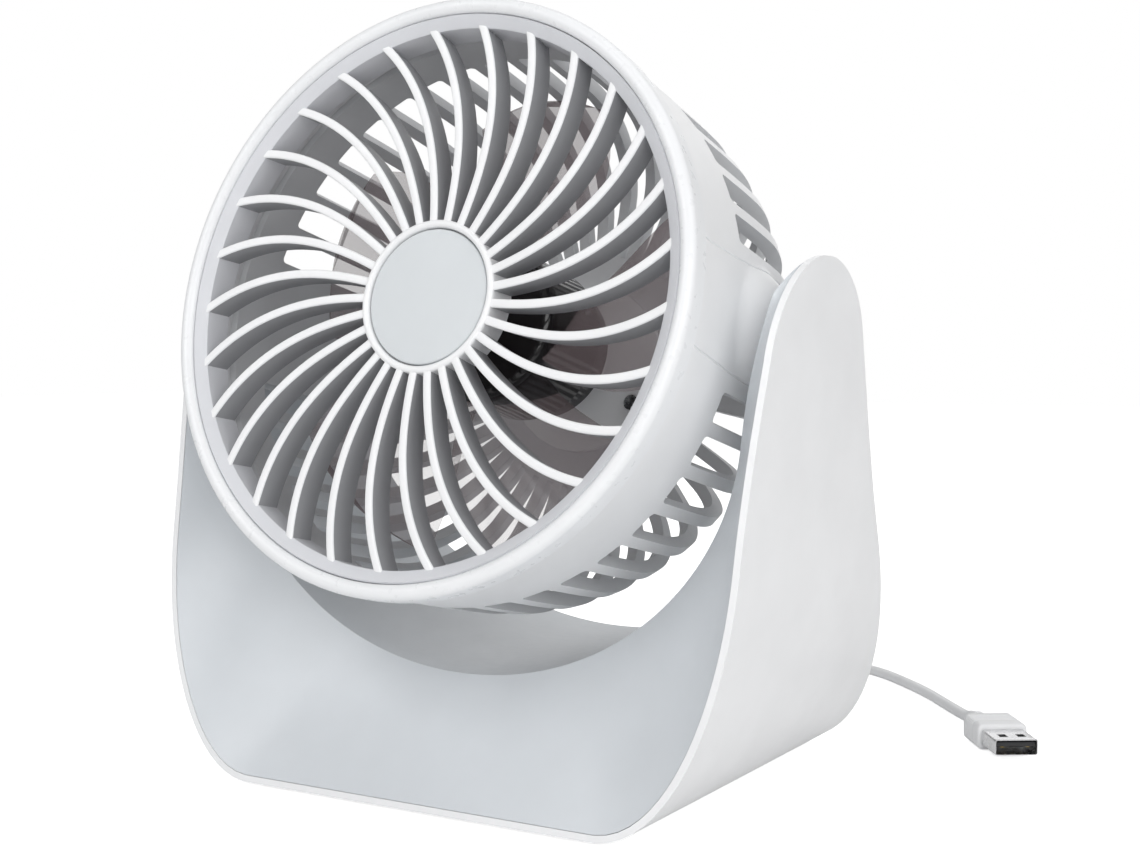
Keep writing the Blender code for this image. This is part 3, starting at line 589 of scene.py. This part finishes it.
def make_base_shell():
    """White band round the base: bottom, rounded corners and the outer faces of both arms."""
    sections = []
    for outer, inner in base_pairs(OUTER, SHELL_INSIDE):
        section = []
        for x, z in (outer, inner):
            front, rear = front_y(z), rear_y(z)
            edge = [(x, front + (rear - front) * k / 12, z) for k in range(13)]
            section += edge if (x, z) == outer else edge[::-1]
        sections.append(section)
    part = lofted(both_sides(sections))
    made = piece("shell_band", *part, "base", "white", ["base_shell"], "white_plastic", BASE)
    half = COVER_OPENING / 2
    cut_out(made, box((-half, -half, -4 * MM), (half, half, 4 * MM)), BASE)
    rounded_edges(made, 0.55 * MM, 3, 40.0)


def scoop_edge_y(z):
    return max(SCOOP_FRONT_Y, front_y(z) + 0.5 * MM)


def make_cradle():
    """Grey front scoop, trough and the faces of the arms, in one moulding that wraps over the tips."""
    gap = 0.12 * MM
    outside = offset_inwards(OUTER, RIM_WIDTH + gap)
    sections = []
    scoop_steps = 12
    for outer, trough in base_pairs(outside, TROUGH):
        depth = max(rear_y(trough[1]) - front_y(trough[1]), 0.0)
        edge_y = min(front_y(outer[1]) + 0.25 * MM, TIP_CENTRE_Y)
        lip_y = min(scoop_edge_y(trough[1]), TIP_CENTRE_Y)
        rear = max(rear_y(trough[1]) - 0.25 * MM, lip_y + 0.02 * MM)
        outer_rear = max(rear_y(outer[1]) - 0.25 * MM, edge_y + 0.02 * MM)
        front_face = []
        for k in range(scoop_steps + 1):
            t = k / scoop_steps
            x = outer[0] + (trough[0] - outer[0]) * t
            z = outer[1] + (trough[1] - outer[1]) * t
            hollow = SCOOP_HOLLOW * math.sin(math.pi * t) * min(depth / SCOOP_FULL_DEPTH, 1.0)
            y = edge_y + (lip_y - edge_y) * t + hollow
            front_face.append((x, y, z))
        trough_face = [(trough[0], lip_y + (rear - lip_y) * k / 10, trough[1]) for k in range(1, 11)]
        rear_face = []
        for k in range(1, 5):
            t = k / 4
            rear_face.append((trough[0] + (outer[0] - trough[0]) * t, rear + (outer_rear - rear) * t,
                              trough[1] + (outer[1] - trough[1]) * t))
        sections.append(front_face + trough_face + rear_face)
    part = lofted(both_sides(sections))
    made = piece("scoop_and_trough", *part, "base", "grey", ["cradle", "rear_panel"],
                 "light_grey_plastic", BASE)
    for at, radius in ((BUTTON_AT, BUTTON_RADIUS + 0.3 * MM), (LENS_AT, LENS_HOLE), (GLAND_AT, GLAND_HOLE)):
        hole = turned([(0.0, -HOLE_DEPTH), (radius, -HOLE_DEPTH), (radius, 5.0 * MM), (0.0, 5.0 * MM)], 48)
        cut_out(made, hole, rear_place(at))
    rounded_edges(made, 0.3 * MM, 2, 40.0)


def make_rear_rings():
    """Raised rings on the grey back, round the button and round the lead's outlet."""
    rings = (("button_ring", BUTTON_AT, BUTTON_RADIUS + 0.35 * MM, BUTTON_RADIUS + 2.0 * MM, 0.8 * MM),
             ("outlet_ring", GLAND_AT, 3.95 * MM, 5.3 * MM, 0.7 * MM))
    for name, at, inner, outer, high in rings:
        profile = [(inner, -1.0 * MM), (outer + 0.4 * MM, -1.0 * MM), (outer + 0.3 * MM, 0.25 * MM)]
        profile += arc((outer - 0.35 * MM, high - 0.35 * MM), 0.35 * MM, 20, 90, 5)
        profile += arc((inner + 0.25 * MM, high - 0.25 * MM), 0.25 * MM, 90, 180, 4)
        piece(name, *turned(profile, 72), "base", "grey", (), "light_grey_plastic", rear_place(at))


make_base_shell()
make_cradle()
make_rear_rings()


# Head

def drum_profile():
    """Rows of (radius, height) from the housing's mouth to its rear face, closer round the slots' ends."""
    side = bezier((74.4 * MM, 33 * MM), (73.4 * MM, 18 * MM),
                  (74.0 * MM, 4 * MM), (73.0 * MM, -10 * MM), 200)
    shoulder = bezier((73.0 * MM, -10 * MM), (71.4 * MM, -25 * MM),
                      (64.0 * MM, -39 * MM), (52.0 * MM, -43.5 * MM), 26)
    heights = [33.0, 29.0, 27.4, 26.0, 24.0, 21.5, 19.5, 18.0, 16.8, 15.6,
               14.6, 14.5, 14.3, 14.0, 13.6, 13.2]
    heights += [12.0 - 1.1 * i for i in range(20)]
    rows = [(74.75 * MM, DRUM_FRONT - 0.12 * MM), (74.7 * MM, 36.0 * MM)]
    for height in heights:
        rows.append(min(side, key=lambda p: abs(p[1] - height * MM)))
    rows = [row for i, row in enumerate(rows) if i == 0 or row[1] < rows[i - 1][1] - 0.01 * MM]
    rows += shoulder[1:]
    rows += [(46.0 * MM, -45.0 * MM), (40.0 * MM, -45.8 * MM), (SLOT_INNER, DRUM_REAR + 0.8 * MM),
             (31.0 * MM, DRUM_REAR + 0.3 * MM), (27.0 * MM, DRUM_REAR), (20.0 * MM, DRUM_REAR),
             (12.0 * MM, DRUM_REAR)]
    return rows


def slot_half_angle(radius, height):
    """Half the angle that a slot spans at a place on the housing, less at its rounded front corners."""
    half = radius * math.tan(SLOT_PITCH / 2) - SLOT_BAR / 2
    into_corner = height - (SLOT_FRONT - SLOT_CORNER)
    if into_corner > 0.0:
        into_corner = min(into_corner, SLOT_CORNER)
        half -= SLOT_CORNER - math.sqrt(max(SLOT_CORNER ** 2 - into_corner ** 2, 0.0))
    return max(half, 0.2 * MM) / radius


def seam_angle(height):
    """Edge of the pivot panel, which widens towards the rear."""
    behind = (SEAM_FRONT - height) / SEAM_LENGTH
    return math.radians(SEAM_FRONT_DEGREES + SEAM_WIDENING_DEGREES * behind)


def boss_rise(across, height):
    """How far the pivot panel swells towards the arm."""
    distance = math.hypot(across, height)
    return BOSS_HEIGHT * smoothed((BOSS_FOOT_RADIUS - distance) / BOSS_SLOPE)


def drum_columns():
    """Column kinds round the housing: (index of place, kind, share)."""
    columns = []
    quarter = SLOT_COUNT // 2
    for i in range(SLOT_COUNT):
        from_pivot = (i + quarter // 2 + 1) % quarter - quarter // 2 - 1
        if abs(from_pivot) <= 1:
            if from_pivot == -1:
                columns += [(i + 1, "panel", k) for k in range(-PANEL_SHARES, PANEL_SHARES + 1)]
            continue
        columns += [(i, "slot", k / 2) for k in (-2, -1, 0, 1, 2)]
        columns += [(i, "bar", 1.0 / 3.0), (i, "bar", 2.0 / 3.0)]
    return columns


def column_angle(column, radius, height):
    """Angle of a column at a row, and the depth of the seam groove there."""
    place, kind, share = column
    centre = SLOT_PITCH * place
    half = slot_half_angle(radius, height)
    if kind == "slot":
        return centre + half * share, 0.0
    if kind == "bar":
        return centre + half + (SLOT_PITCH - 2 * half) * share, 0.0
    seam = seam_angle(height)
    edge = 2 * SLOT_PITCH - half
    side = 1.0 if share >= 0 else -1.0
    k = abs(share)
    if k in GROOVE_COLUMNS:
        depth = GROOVE_DEPTH if abs(GROOVE_COLUMNS[k]) < 1.0 and height > GROOVE_END else 0.0
        return centre + side * (seam + GROOVE_COLUMNS[k] * GROOVE_HALF / radius), depth
    first, last = min(GROOVE_COLUMNS), max(GROOVE_COLUMNS)
    if k < first:
        return centre + side * (seam + GROOVE_COLUMNS[first] * GROOVE_HALF / radius) * k / first, 0.0
    start = seam + GROOVE_COLUMNS[last] * GROOVE_HALF / radius
    return centre + side * (start + (edge - start) * (k - last) / (PANEL_SHARES - last + 1)), 0.0


def make_drum():
    rows = drum_profile()
    columns = drum_columns()
    outer, inner = [], []
    for i, (radius, height) in enumerate(rows):
        before, after = rows[max(i - 1, 0)], rows[min(i + 1, len(rows) - 1)]
        along = Vector((after[0] - before[0], after[1] - before[1])).normalized()
        wall = MOUTH_WALL if height > MOUTH_REAR else DRUM_WALL
        inside = (radius + along.y * wall, height - along.x * wall)
        outer_row, inner_row = [], []
        for column in columns:
            angle, groove = column_angle(column, radius, height)
            reach = radius - groove
            if column[1] == "panel":
                centre = SLOT_PITCH * column[0]
                reach += boss_rise(radius * (angle - centre), height)
            outer_row.append((reach * math.cos(angle), reach * math.sin(angle), height))
            inner_row.append((inside[0] * math.cos(angle), inside[0] * math.sin(angle), inside[1]))
        outer.append(outer_row)
        inner.append(inner_row)
    first = next(i for i, row in enumerate(rows) if row[1] <= SLOT_FRONT + 0.05 * MM)
    last = next(i for i, row in enumerate(rows) if row[0] <= SLOT_INNER + 0.01 * MM)

    def kept(row, column):
        kind, share = columns[column][1:]
        return not (kind == "slot" and share < 1.0 and first <= row < last)

    verts, faces = pierced_wall(outer, inner, kept)
    count = len(outer) * len(outer[0])
    # outer faces white, inner faces the greyer paint: painted shade inside the housing
    tones = [0 if max(face) < count else 1 for face in faces]
    piece("housing", verts, faces, "head", ["white", "inside"], ["drum_housing"], "white_plastic", HEAD,
          bevel=0.4 * MM, segments=2, bevel_angle=50.0, tones=tones)


def make_bezel():
    bead = arc((73.0 * MM, FACE - 0.6 * MM), 2.0 * MM, 0, 158, 18)
    profile = [(HEAD_RADIUS, DRUM_FRONT - 0.45 * MM), (HEAD_RADIUS, 39.4 * MM)] + bead
    profile += [(SEAM_RADIUS - 0.1 * MM, FACE - 2.2 * MM), (SEAM_RADIUS - 0.1 * MM, 36.0 * MM),
                (70.8 * MM, 34.5 * MM), (70.8 * MM, 28.0 * MM), (72.3 * MM, 28.0 * MM),
                (72.3 * MM, DRUM_FRONT - 0.6 * MM), (74.6 * MM, DRUM_FRONT - 0.6 * MM),
                (74.88 * MM, DRUM_FRONT - 0.57 * MM)]
    piece("bezel", *turned(profile, 300), "head", "satin", ["front_bezel"], "white_plastic", HEAD)


def rib_part(middle):
    """One swept rib with a flat, softly rounded front and a thinner back."""
    inner = HUB_RING_RADIUS - 1.2 * MM
    outer = RIM_INNER_RADIUS + 1.0 * MM
    sections = []
    steps = 26
    half = RIB_WIDTH / 2
    round_edge = 0.45 * MM
    for step in range(steps + 1):
        share = step / steps
        radius = inner + (outer - inner) * share
        sweep = RIB_SWEEP * share ** RIB_BOW
        slope = RIB_SWEEP * RIB_BOW * max(share, 0.001) ** (RIB_BOW - 1.0) / (outer - inner) * radius
        front = FACE - 4.4 * MM + 3.2 * MM * share
        outline = [(-half * 0.5, front - RIB_DEPTH), (half * 0.5, front - RIB_DEPTH),
                   (half, front - round_edge)]
        outline += [(half - round_edge * (1 - math.cos(a)), front - round_edge * (1 - math.sin(a)))
                    for a in (math.pi / 6, math.pi / 3, math.pi / 2)]
        outline += [(-(half - round_edge * (1 - math.cos(a))), front - round_edge * (1 - math.sin(a)))
                    for a in (math.pi / 2, math.pi / 3, math.pi / 6)]
        outline += [(-half, front - round_edge)]
        turn = Matrix.Rotation(sweep + middle, 3, "Z")
        lean = math.atan(slope)
        section = []
        for across, height in outline:
            offset = Vector((-math.sin(lean) * across, math.cos(lean) * across, height))
            section.append(tuple(turn @ (Vector((radius, 0.0, 0.0)) + offset)))
        sections.append(section)
    return lofted(sections)


def rib_tones(part):
    """White for the rounded front of a rib; its sides and back take a darker grey, painted shade on the
    same white plastic.
    """
    front = range(2, RIB_POINTS - 1)
    return [0 if len(face) == 4 and i % RIB_POINTS in front else 1 for i, face in enumerate(part[1])]


def make_grille():
    parts = [rib_part(math.tau * i / RIB_COUNT + RIB_PHASE) for i in range(RIB_COUNT)]
    # the ribs' sides and backs take the darker grey painted shade
    tones = [tone for part in parts for tone in rib_tones(part)]
    hub = [(HUB_RING_RADIUS, FACE - 12.6 * MM), (HUB_RING_RADIUS, FACE - 5.0 * MM)]
    hub += arc((HUB_RING_RADIUS - 0.95 * MM, FACE - 4.9 * MM), 0.95 * MM, 0, 180, 12)
    hub += [(BADGE_RADIUS + 0.3 * MM, FACE - 7.2 * MM), (0.0, FACE - 7.2 * MM), (0.0, FACE - 13.0 * MM),
            (HUB_RING_RADIUS - 0.6 * MM, FACE - 13.0 * MM)]
    hub_part = turned(hub, 180)
    tones += [0] * len(hub_part[1])
    piece("grille_ribs", *joined(parts + [hub_part]), "head", ["ribs", "shade"], ["front_grille"],
          "white_plastic", HEAD, tones=tones)
    outer = SEAM_RADIUS - 0.35 * MM
    ring = [(outer, FACE - 0.3 * MM), (outer - 0.35 * MM, FACE + 0.05 * MM),
            (RIM_INNER_RADIUS + 0.3 * MM, FACE - 1.35 * MM), (RIM_INNER_RADIUS, FACE - 1.7 * MM),
            (RIM_INNER_RADIUS, FACE - 9.5 * MM), (outer - 1.2 * MM, FACE - 9.5 * MM),
            (outer, FACE - 6.0 * MM)]
    piece("grille_ring", *turned(ring, 300), "head", "ring", ["front_grille"], "white_plastic", HEAD)


def make_badge():
    low, high = FACE - 6.9 * MM, FACE - 4.75 * MM
    profile = [(0.0, low), (BADGE_RADIUS, low), (BADGE_RADIUS, high - 0.5 * MM)]
    profile += arc((BADGE_RADIUS - 0.45 * MM, high - 0.45 * MM), 0.45 * MM, 0, 90, 6)[1:]
    profile += [(12 * MM, high + 0.04 * MM), (6 * MM, high + 0.06 * MM), (0.0, high + 0.07 * MM)]
    piece("badge_disc", *turned(profile, 160), "head", "badge", ["grille_badge"],
          "light_grey_plastic", HEAD)


make_drum()
make_bezel()
make_grille()
make_badge()


def blade_part(middle):
    """One twisted blade from the hub to near the housing, as thin as a moulding."""
    sections = []
    steps = 18
    inner = IMPELLER_HUB_RADIUS - 0.6 * MM
    across = [-1.0 + 2.0 * k / 14 for k in range(15)]
    for step in range(steps + 1):
        share = step / steps
        radius = inner + (IMPELLER_RADIUS - inner) * share
        half_turn = math.radians(27.0 + 3.0 * math.sin(share * math.pi)) * (1 - 0.18 * share ** 4)
        half_rise = (8.0 - 1.5 * share) * MM
        sweep = middle + math.radians(14.0) * share ** 1.5
        section = []
        for side in (1.0, -1.0):
            for k in across:
                along = k * side
                angle = sweep + along * half_turn
                camber = 1.6 * MM * (1 - along * along)
                height = 3.0 * MM - along * half_rise + camber + side * 0.45 * MM * (1.12 - abs(along))
                section.append((radius * math.cos(angle), radius * math.sin(angle), height))
        sections.append(section)
    return lofted(sections)


def make_impeller():
    hub = [(SHAFT_BORE, 13.0 * MM), (17.6 * MM, 13.0 * MM)]
    hub += arc((IMPELLER_HUB_RADIUS - 3.4 * MM, 9.6 * MM), 3.4 * MM, 90, 0, 10)[1:]
    hub += [(IMPELLER_HUB_RADIUS, -12.0 * MM), (19.4 * MM, -12.0 * MM), (19.4 * MM, 9.0 * MM),
            (17.8 * MM, 10.6 * MM), (SHAFT_BORE, 10.6 * MM)]
    blades = joined([blade_part(math.tau * i / BLADE_COUNT) for i in range(BLADE_COUNT)])
    piece("impeller_hub", *turned(hub, 120), "rotor", "hub", ["impeller"], "smoky_plastic", HEAD)
    piece("impeller_blades", *blades, "rotor", "smoke", ["impeller"], "smoky_plastic", HEAD, sharp=50.0)


def make_rotor_can():
    can = [(SHAFT_BORE, 10.0 * MM), (16.2 * MM, 10.0 * MM)]
    can += arc((16.0 * MM, 7.4 * MM), 2.6 * MM, 90, 0, 8)[1:]
    can += [(18.6 * MM, -21.0 * MM), (17.0 * MM, -21.0 * MM), (17.0 * MM, 8.0 * MM),
            (5.0 * MM, 8.0 * MM), (5.0 * MM, 4.0 * MM), (SHAFT_BORE, 4.0 * MM)]
    piece("rotor_cup", *turned(can, 120), "rotor", "gloss", ["rotor_can"], "black_steel", HEAD)


make_impeller()
make_rotor_can()


# Lead: the route's points are those of part.py

COIL_CENTRE = Vector((-6.0, 133.0, 0.0)) * MM
COIL_INNER = 13.9 * MM
COIL_OUTER = 24.4 * MM
COIL_LOW = 1.95 * MM
COIL_HIGH = 5.4 * MM
COIL_ENTRY = 45.0               # degrees that the lead takes to join the outer turn
COIL_LAYER = 1050.0             # degrees of each layer
COIL_CLIMB = 105.0              # degrees between the layers
COIL_STEP = 13.0                # degrees between points
START_ROUTE = [(30.0, 72.0, 6.6), (29.2, 79.5, 3.1), (24.5, 88.5, 2.1), (14.0, 96.5, 2.1),
               (-1.0, 102.0, 2.1), (-15.9, 105.7, 2.1)]
LEAD_ROUTE = [(-6.0, 163.3, 3.2), (8.0, 165.5, 2.2), (24.0, 164.5, 2.1), (40.0, 157.0, 2.1),
              (54.0, 144.5, 2.1), (66.5, 131.0, 2.1), (77.5, 117.0, 2.1), (87.0, 104.5, 2.4)]
PLUG_FROM = Vector((93.0, 96.0, 0.0)) * MM
PLUG_TO = Vector((122.0, 52.0, 0.0)) * MM
PLUG_HEIGHT = 4.1 * MM
PLUG_ALONG = (PLUG_TO - PLUG_FROM).normalized()
PLUG_AXES = (PLUG_ALONG.cross(Vector((0, 0, -1))), Vector((0, 0, 1)), PLUG_ALONG)
PLUG = (Matrix.Translation(Vector((PLUG_FROM.x, PLUG_FROM.y + BASE_Y, PLUG_HEIGHT)))
        @ Matrix(PLUG_AXES).transposed().to_4x4())


def spline_points(points, per_span):
    """A smooth curve through the given points."""
    padded = [points[0] * 2 - points[1]] + points + [points[-1] * 2 - points[-2]]
    fine = []
    for i in range(1, len(padded) - 2):
        a, b, c, d = padded[i - 1:i + 3]
        for step in range(per_span):
            t = step / per_span
            fine.append(0.5 * (2 * b + (c - a) * t + (2 * a - 5 * b + 4 * c - d) * t * t
                               + (3 * b - a - 3 * c + d) * t ** 3))
    fine.append(points[-1])
    return fine


def coil_points(begin, end):
    """A flat coil of two layers: inwards along the table, up, and outwards on top, clockwise from above."""
    legs = [(COIL_ENTRY, (begin.x, COIL_OUTER), (begin.z, COIL_LOW)),
            (COIL_LAYER, (COIL_OUTER, COIL_INNER), (COIL_LOW, COIL_LOW)),
            (COIL_CLIMB, (COIL_INNER, COIL_INNER), (COIL_LOW, COIL_HIGH)),
            (COIL_LAYER, (COIL_INNER, COIL_OUTER), (COIL_HIGH, COIL_HIGH))]
    travelled = sum(leg[0] for leg in legs)
    rest = (math.degrees(begin.y - end.y) - travelled) % 360.0
    legs.append((rest, (COIL_OUTER, end.x), (COIL_HIGH, end.z)))
    points = []
    angle = begin.y
    for sweep, radii, levels in legs:
        steps = max(round(sweep / COIL_STEP), 3)
        for step in range(1, steps + 1):
            share = step / steps
            eased = share if sweep > 360.0 else smoothed(share)
            reach = radii[0] + (radii[1] - radii[0]) * eased
            turned_to = angle - math.radians(sweep) * share
            points.append(COIL_CENTRE + Vector((reach * math.cos(turned_to), reach * math.sin(turned_to),
                                                levels[0] + (levels[1] - levels[0]) * eased)))
        angle -= math.radians(sweep)
    return points


def from_coil(point):
    """Distance, bearing and height of a point about the coil's centre."""
    away = point - COIL_CENTRE
    return Vector((math.hypot(away.x, away.y), math.atan2(away.y, away.x), point.z))


def cord_route():
    start = [rear_point(*GLAND_AT, out=4.9 * MM), rear_point(*GLAND_AT, out=9.0 * MM)]
    start += [Vector(point) * MM for point in START_ROUTE]
    plug = Vector((PLUG_FROM.x, PLUG_FROM.y, PLUG_HEIGHT))
    end = [Vector(point) * MM for point in LEAD_ROUTE]
    end += [plug - PLUG_ALONG * 5 * MM + Vector((0, 0, -0.6 * MM)), plug - PLUG_ALONG * 0.3 * MM]
    coil = coil_points(from_coil(start[-1]), from_coil(end[0]))
    route = spline_points(start, 4) + coil[:-1] + spline_points(end, 4)
    return [BASE @ point for point in route]


def rounded_rectangle(half_x, half_y, corner, cuts=(), corner_steps=4):
    """Points round a rectangle with rounded corners, with extra points across its top and bottom."""
    points = []
    quarters = ((1, 1, 0), (-1, 1, 90), (-1, -1, 180), (1, -1, 270))
    for i, (side_x, side_y, start) in enumerate(quarters):
        centre = (side_x * (half_x - corner), side_y * (half_y - corner))
        points += arc(centre, corner, start, start + 90, corner_steps)
        if i == 0:
            points += [(x, half_y) for x in sorted(cuts, reverse=True)]
        if i == 2:
            points += [(x, -half_y) for x in sorted(cuts)]
    return points


def make_plug_relief():
    """Ribbed strain relief round the end of the lead."""
    relief = [(1.75 * MM, 0.0), (2.0 * MM, 0.15 * MM), (2.2 * MM, 0.8 * MM)]
    for ring in range(5):
        low = (1.0 + 1.45 * ring) * MM
        swell = 2.24 + 0.03 * ring
        relief += [(swell * MM, low), (swell * MM, low + 0.8 * MM), (1.95 * MM, low + 0.95 * MM),
                   (1.95 * MM, low + 1.3 * MM)]
    relief += [(2.4 * MM, 8.4 * MM), (2.4 * MM, 9.2 * MM), (0.0, 9.2 * MM), (0.0, 0.0)]
    return piece("plug_strain_relief", *turned(relief, 48), "base", "cord", ["plug_relief"],
                 "white_cord", PLUG)


def make_plug_grip():
    """Rounded grip with five ridges."""
    sections = []
    grip_rows = [(9.2, 1.3), (9.3, 0.9), (9.5, 0.5), (9.9, 0.16), (10.4, 0.0), (12.0, 0.0)]
    for ridge in range(5):
        low = 12.6 + 1.4 * ridge
        grip_rows += [(low, 0.0), (low + 0.2, 0.28), (low + 0.6, 0.28), (low + 0.8, 0.0)]
    grip_rows += [(21.0, 0.0), (23.4, 0.0), (23.9, 0.14), (24.2, 0.45), (24.3, 0.9)]
    for along, inset in grip_rows:
        ring = rounded_rectangle((7.1 - inset) * MM, (3.7 - inset) * MM, 1.7 * MM, corner_steps=6)
        sections.append([(x, y, along * MM) for x, y in ring])
    return piece("plug_grip", *lofted(sections), "base", "cord", ["plug_body"],
                 "white_cord", PLUG, sharp=50.0)


def make_plug_shell():
    """Metal shell, with two latch holes in its top."""
    cuts = [x * MM for x in (-3.7, -3.0, -2.2, -1.4, -0.6, 0.6, 1.4, 2.2, 3.0, 3.7)]
    rows = [24.6, 27.0, 29.5, 30.4, 31.6, 32.8, 33.6, 35.0, 36.3, 36.6]
    outer, inner = [], []
    for along in rows:
        inset = 0.12 if along > 36.5 else 0.0
        outer.append([(x, y, along * MM) for x, y in
                      rounded_rectangle((6.0 - inset) * MM, (2.25 - inset) * MM, 0.7 * MM, cuts)])
        inner.append([(x, y, along * MM) for x, y in
                      rounded_rectangle(5.68 * MM, 1.93 * MM, 0.4 * MM, cuts)])
    first_cut = 5                   # column of the top face's first extra point
    hole_columns = (0, 1, 2, 6, 7, 8)
    hole_rows = range(rows.index(30.4), rows.index(32.8) + 1)

    def kept(row, column):
        return not (row in hole_rows and column - first_cut in hole_columns)

    return piece("plug_sleeve", *pierced_wall(outer, inner, kept), "base", "steel", ["plug_shell"],
                 None, PLUG, sharp=30.0)


def make_plug_tongue():
    """Black tongue with four gold contacts."""
    tongue = [[(x, y + 0.75 * MM, along * MM) for x, y in
               rounded_rectangle(5.3 * MM, (0.85 - inset) * MM, 0.2 * MM)]
              for along, inset in ((26.0, 0.0), (35.3, 0.0), (36.0, 0.3))]
    block = piece("plug_tongue_block", *lofted(tongue), "base", "black", ["plug_tongue"], None, PLUG)
    strips = []
    for across, reach in ((-3.5, 35.2), (-1.15, 34.2), (1.15, 34.2), (3.5, 35.2)):
        strip = [[(x + across * MM, y - 0.12 * MM, along * MM) for x, y in
                  rounded_rectangle(0.5 * MM, 0.1 * MM, 0.06 * MM)]
                 for along in (28.2, reach - 0.2, reach)]
        strips.append(lofted(strip))
    contacts = piece("plug_contacts", *joined(strips), "base", "gold", ["plug_tongue"], None, PLUG)
    return [block, contacts]


def make_plug():
    return [make_plug_relief(), make_plug_grip(), make_plug_shell()] + make_plug_tongue()


def make_cord():
    route = cord_route()
    curve = bpy.data.curves.new("lead", "CURVE")
    curve.dimensions = "3D"
    curve.bevel_depth = CORD_RADIUS
    curve.bevel_resolution = 5
    curve.use_fill_caps = True
    spline = curve.splines.new("POLY")
    spline.points.add(len(route) - 1)
    for point, at in zip(spline.points, route):
        point.co = (*at, 1.0)
    curve.materials.append(PAINT["cord"])
    lead = bpy.data.objects.new("lead", curve)
    bpy.context.scene.collection.objects.link(lead)
    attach(lead, "base")
    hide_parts("cord_start", "cord_coil", "cord_lead")
    make_plug()


make_cord()


# Camera and light

def make_camera():
    data = bpy.data.cameras.new("camera")
    data.sensor_width = SENSOR_WIDTH
    data.lens = CAMERA_LENS
    data.clip_start = 0.01
    data.clip_end = 20.0
    made = bpy.data.objects.new("camera", data)
    made.location = CAMERA_AT
    made.rotation_euler = CAMERA_TURN
    bpy.context.scene.collection.objects.link(made)
    bpy.context.scene.camera = made


def soft_light(name, place, aim, size, power):
    data = bpy.data.lights.new(name, "AREA")
    data.shape = "RECTANGLE"
    data.size, data.size_y = size
    data.energy = power
    made = bpy.data.objects.new(name, data)
    made.location = place
    made.rotation_euler = (Vector(aim) - Vector(place)).to_track_quat("-Z", "Y").to_euler()
    bpy.context.scene.collection.objects.link(made)


def seen_by_camera(tree, elsewhere, seen):
    """A level that is different in what the camera sees directly."""
    path = tree.nodes.new("ShaderNodeLightPath")
    level = tree.nodes.new("ShaderNodeMapRange")
    level.inputs["To Min"].default_value = elsewhere
    level.inputs["To Max"].default_value = seen
    tree.links.new(path.outputs["Is Camera Ray"], level.inputs["Value"])
    return level.outputs["Result"]


def make_world():
    scene = bpy.context.scene
    scene.view_settings.view_transform = "Standard"
    world = bpy.data.worlds.new("studio")
    scene.world = world
    world.use_nodes = True
    tree = world.node_tree
    background = tree.nodes["Background"]
    background.inputs["Color"].default_value = (1.0, 1.0, 1.0, 1.0)
    tree.links.new(seen_by_camera(tree, WORLD_LIGHT, WORLD_SEEN), background.inputs["Strength"])


def make_floor():
    corners = [(x * FLOOR_HALF, y * FLOOR_HALF, -FLOOR_DROP)
               for x, y in ((-1, -1), (1, -1), (1, 1), (-1, 1))]
    mesh = bpy.data.meshes.new("floor")
    mesh.from_pydata(corners, [], [(0, 1, 2, 3)])
    paint, tree, shader = new_material("floor_white")
    tree.links.new(blend_colours(tree, noise(tree, 3.0, 2.0), (0.93, 0.93, 0.93), (0.95, 0.95, 0.95)),
                   shader.inputs["Base Color"])
    shader.inputs["Roughness"].default_value = 0.9
    shader.inputs["Emission Color"].default_value = (1.0, 1.0, 1.0, 1.0)
    tree.links.new(seen_by_camera(tree, 0.0, FLOOR_GLOW), shader.inputs["Emission Strength"])
    mesh.materials.append(paint)
    floor = bpy.data.objects.new("floor", mesh)
    bpy.context.scene.collection.objects.link(floor)


def make_lights():
    soft_light("key", (-0.35, -0.95, 0.75), (0.0, 0.0, 0.1), (0.7, 0.7), 3.7)
    soft_light("side", (1.0, -0.35, 0.55), (0.0, 0.0, 0.1), (0.6, 0.8), 3.0)
    soft_light("front_right", (0.6, -0.8, 0.4), (0.05, 0.0, 0.1), (0.5, 0.6), 2.7)
    soft_light("back", (-0.3, 1.0, 0.6), (0.0, 0.0, 0.1), (0.8, 0.8), 1.6)
    soft_light("top", (0.1, 0.1, 1.1), (0.0, 0.0, 0.1), (0.9, 0.9), 2.0)


make_camera()
make_world()
make_floor()
make_lights()


for node_name in NODES:
    paint_node(node_name)
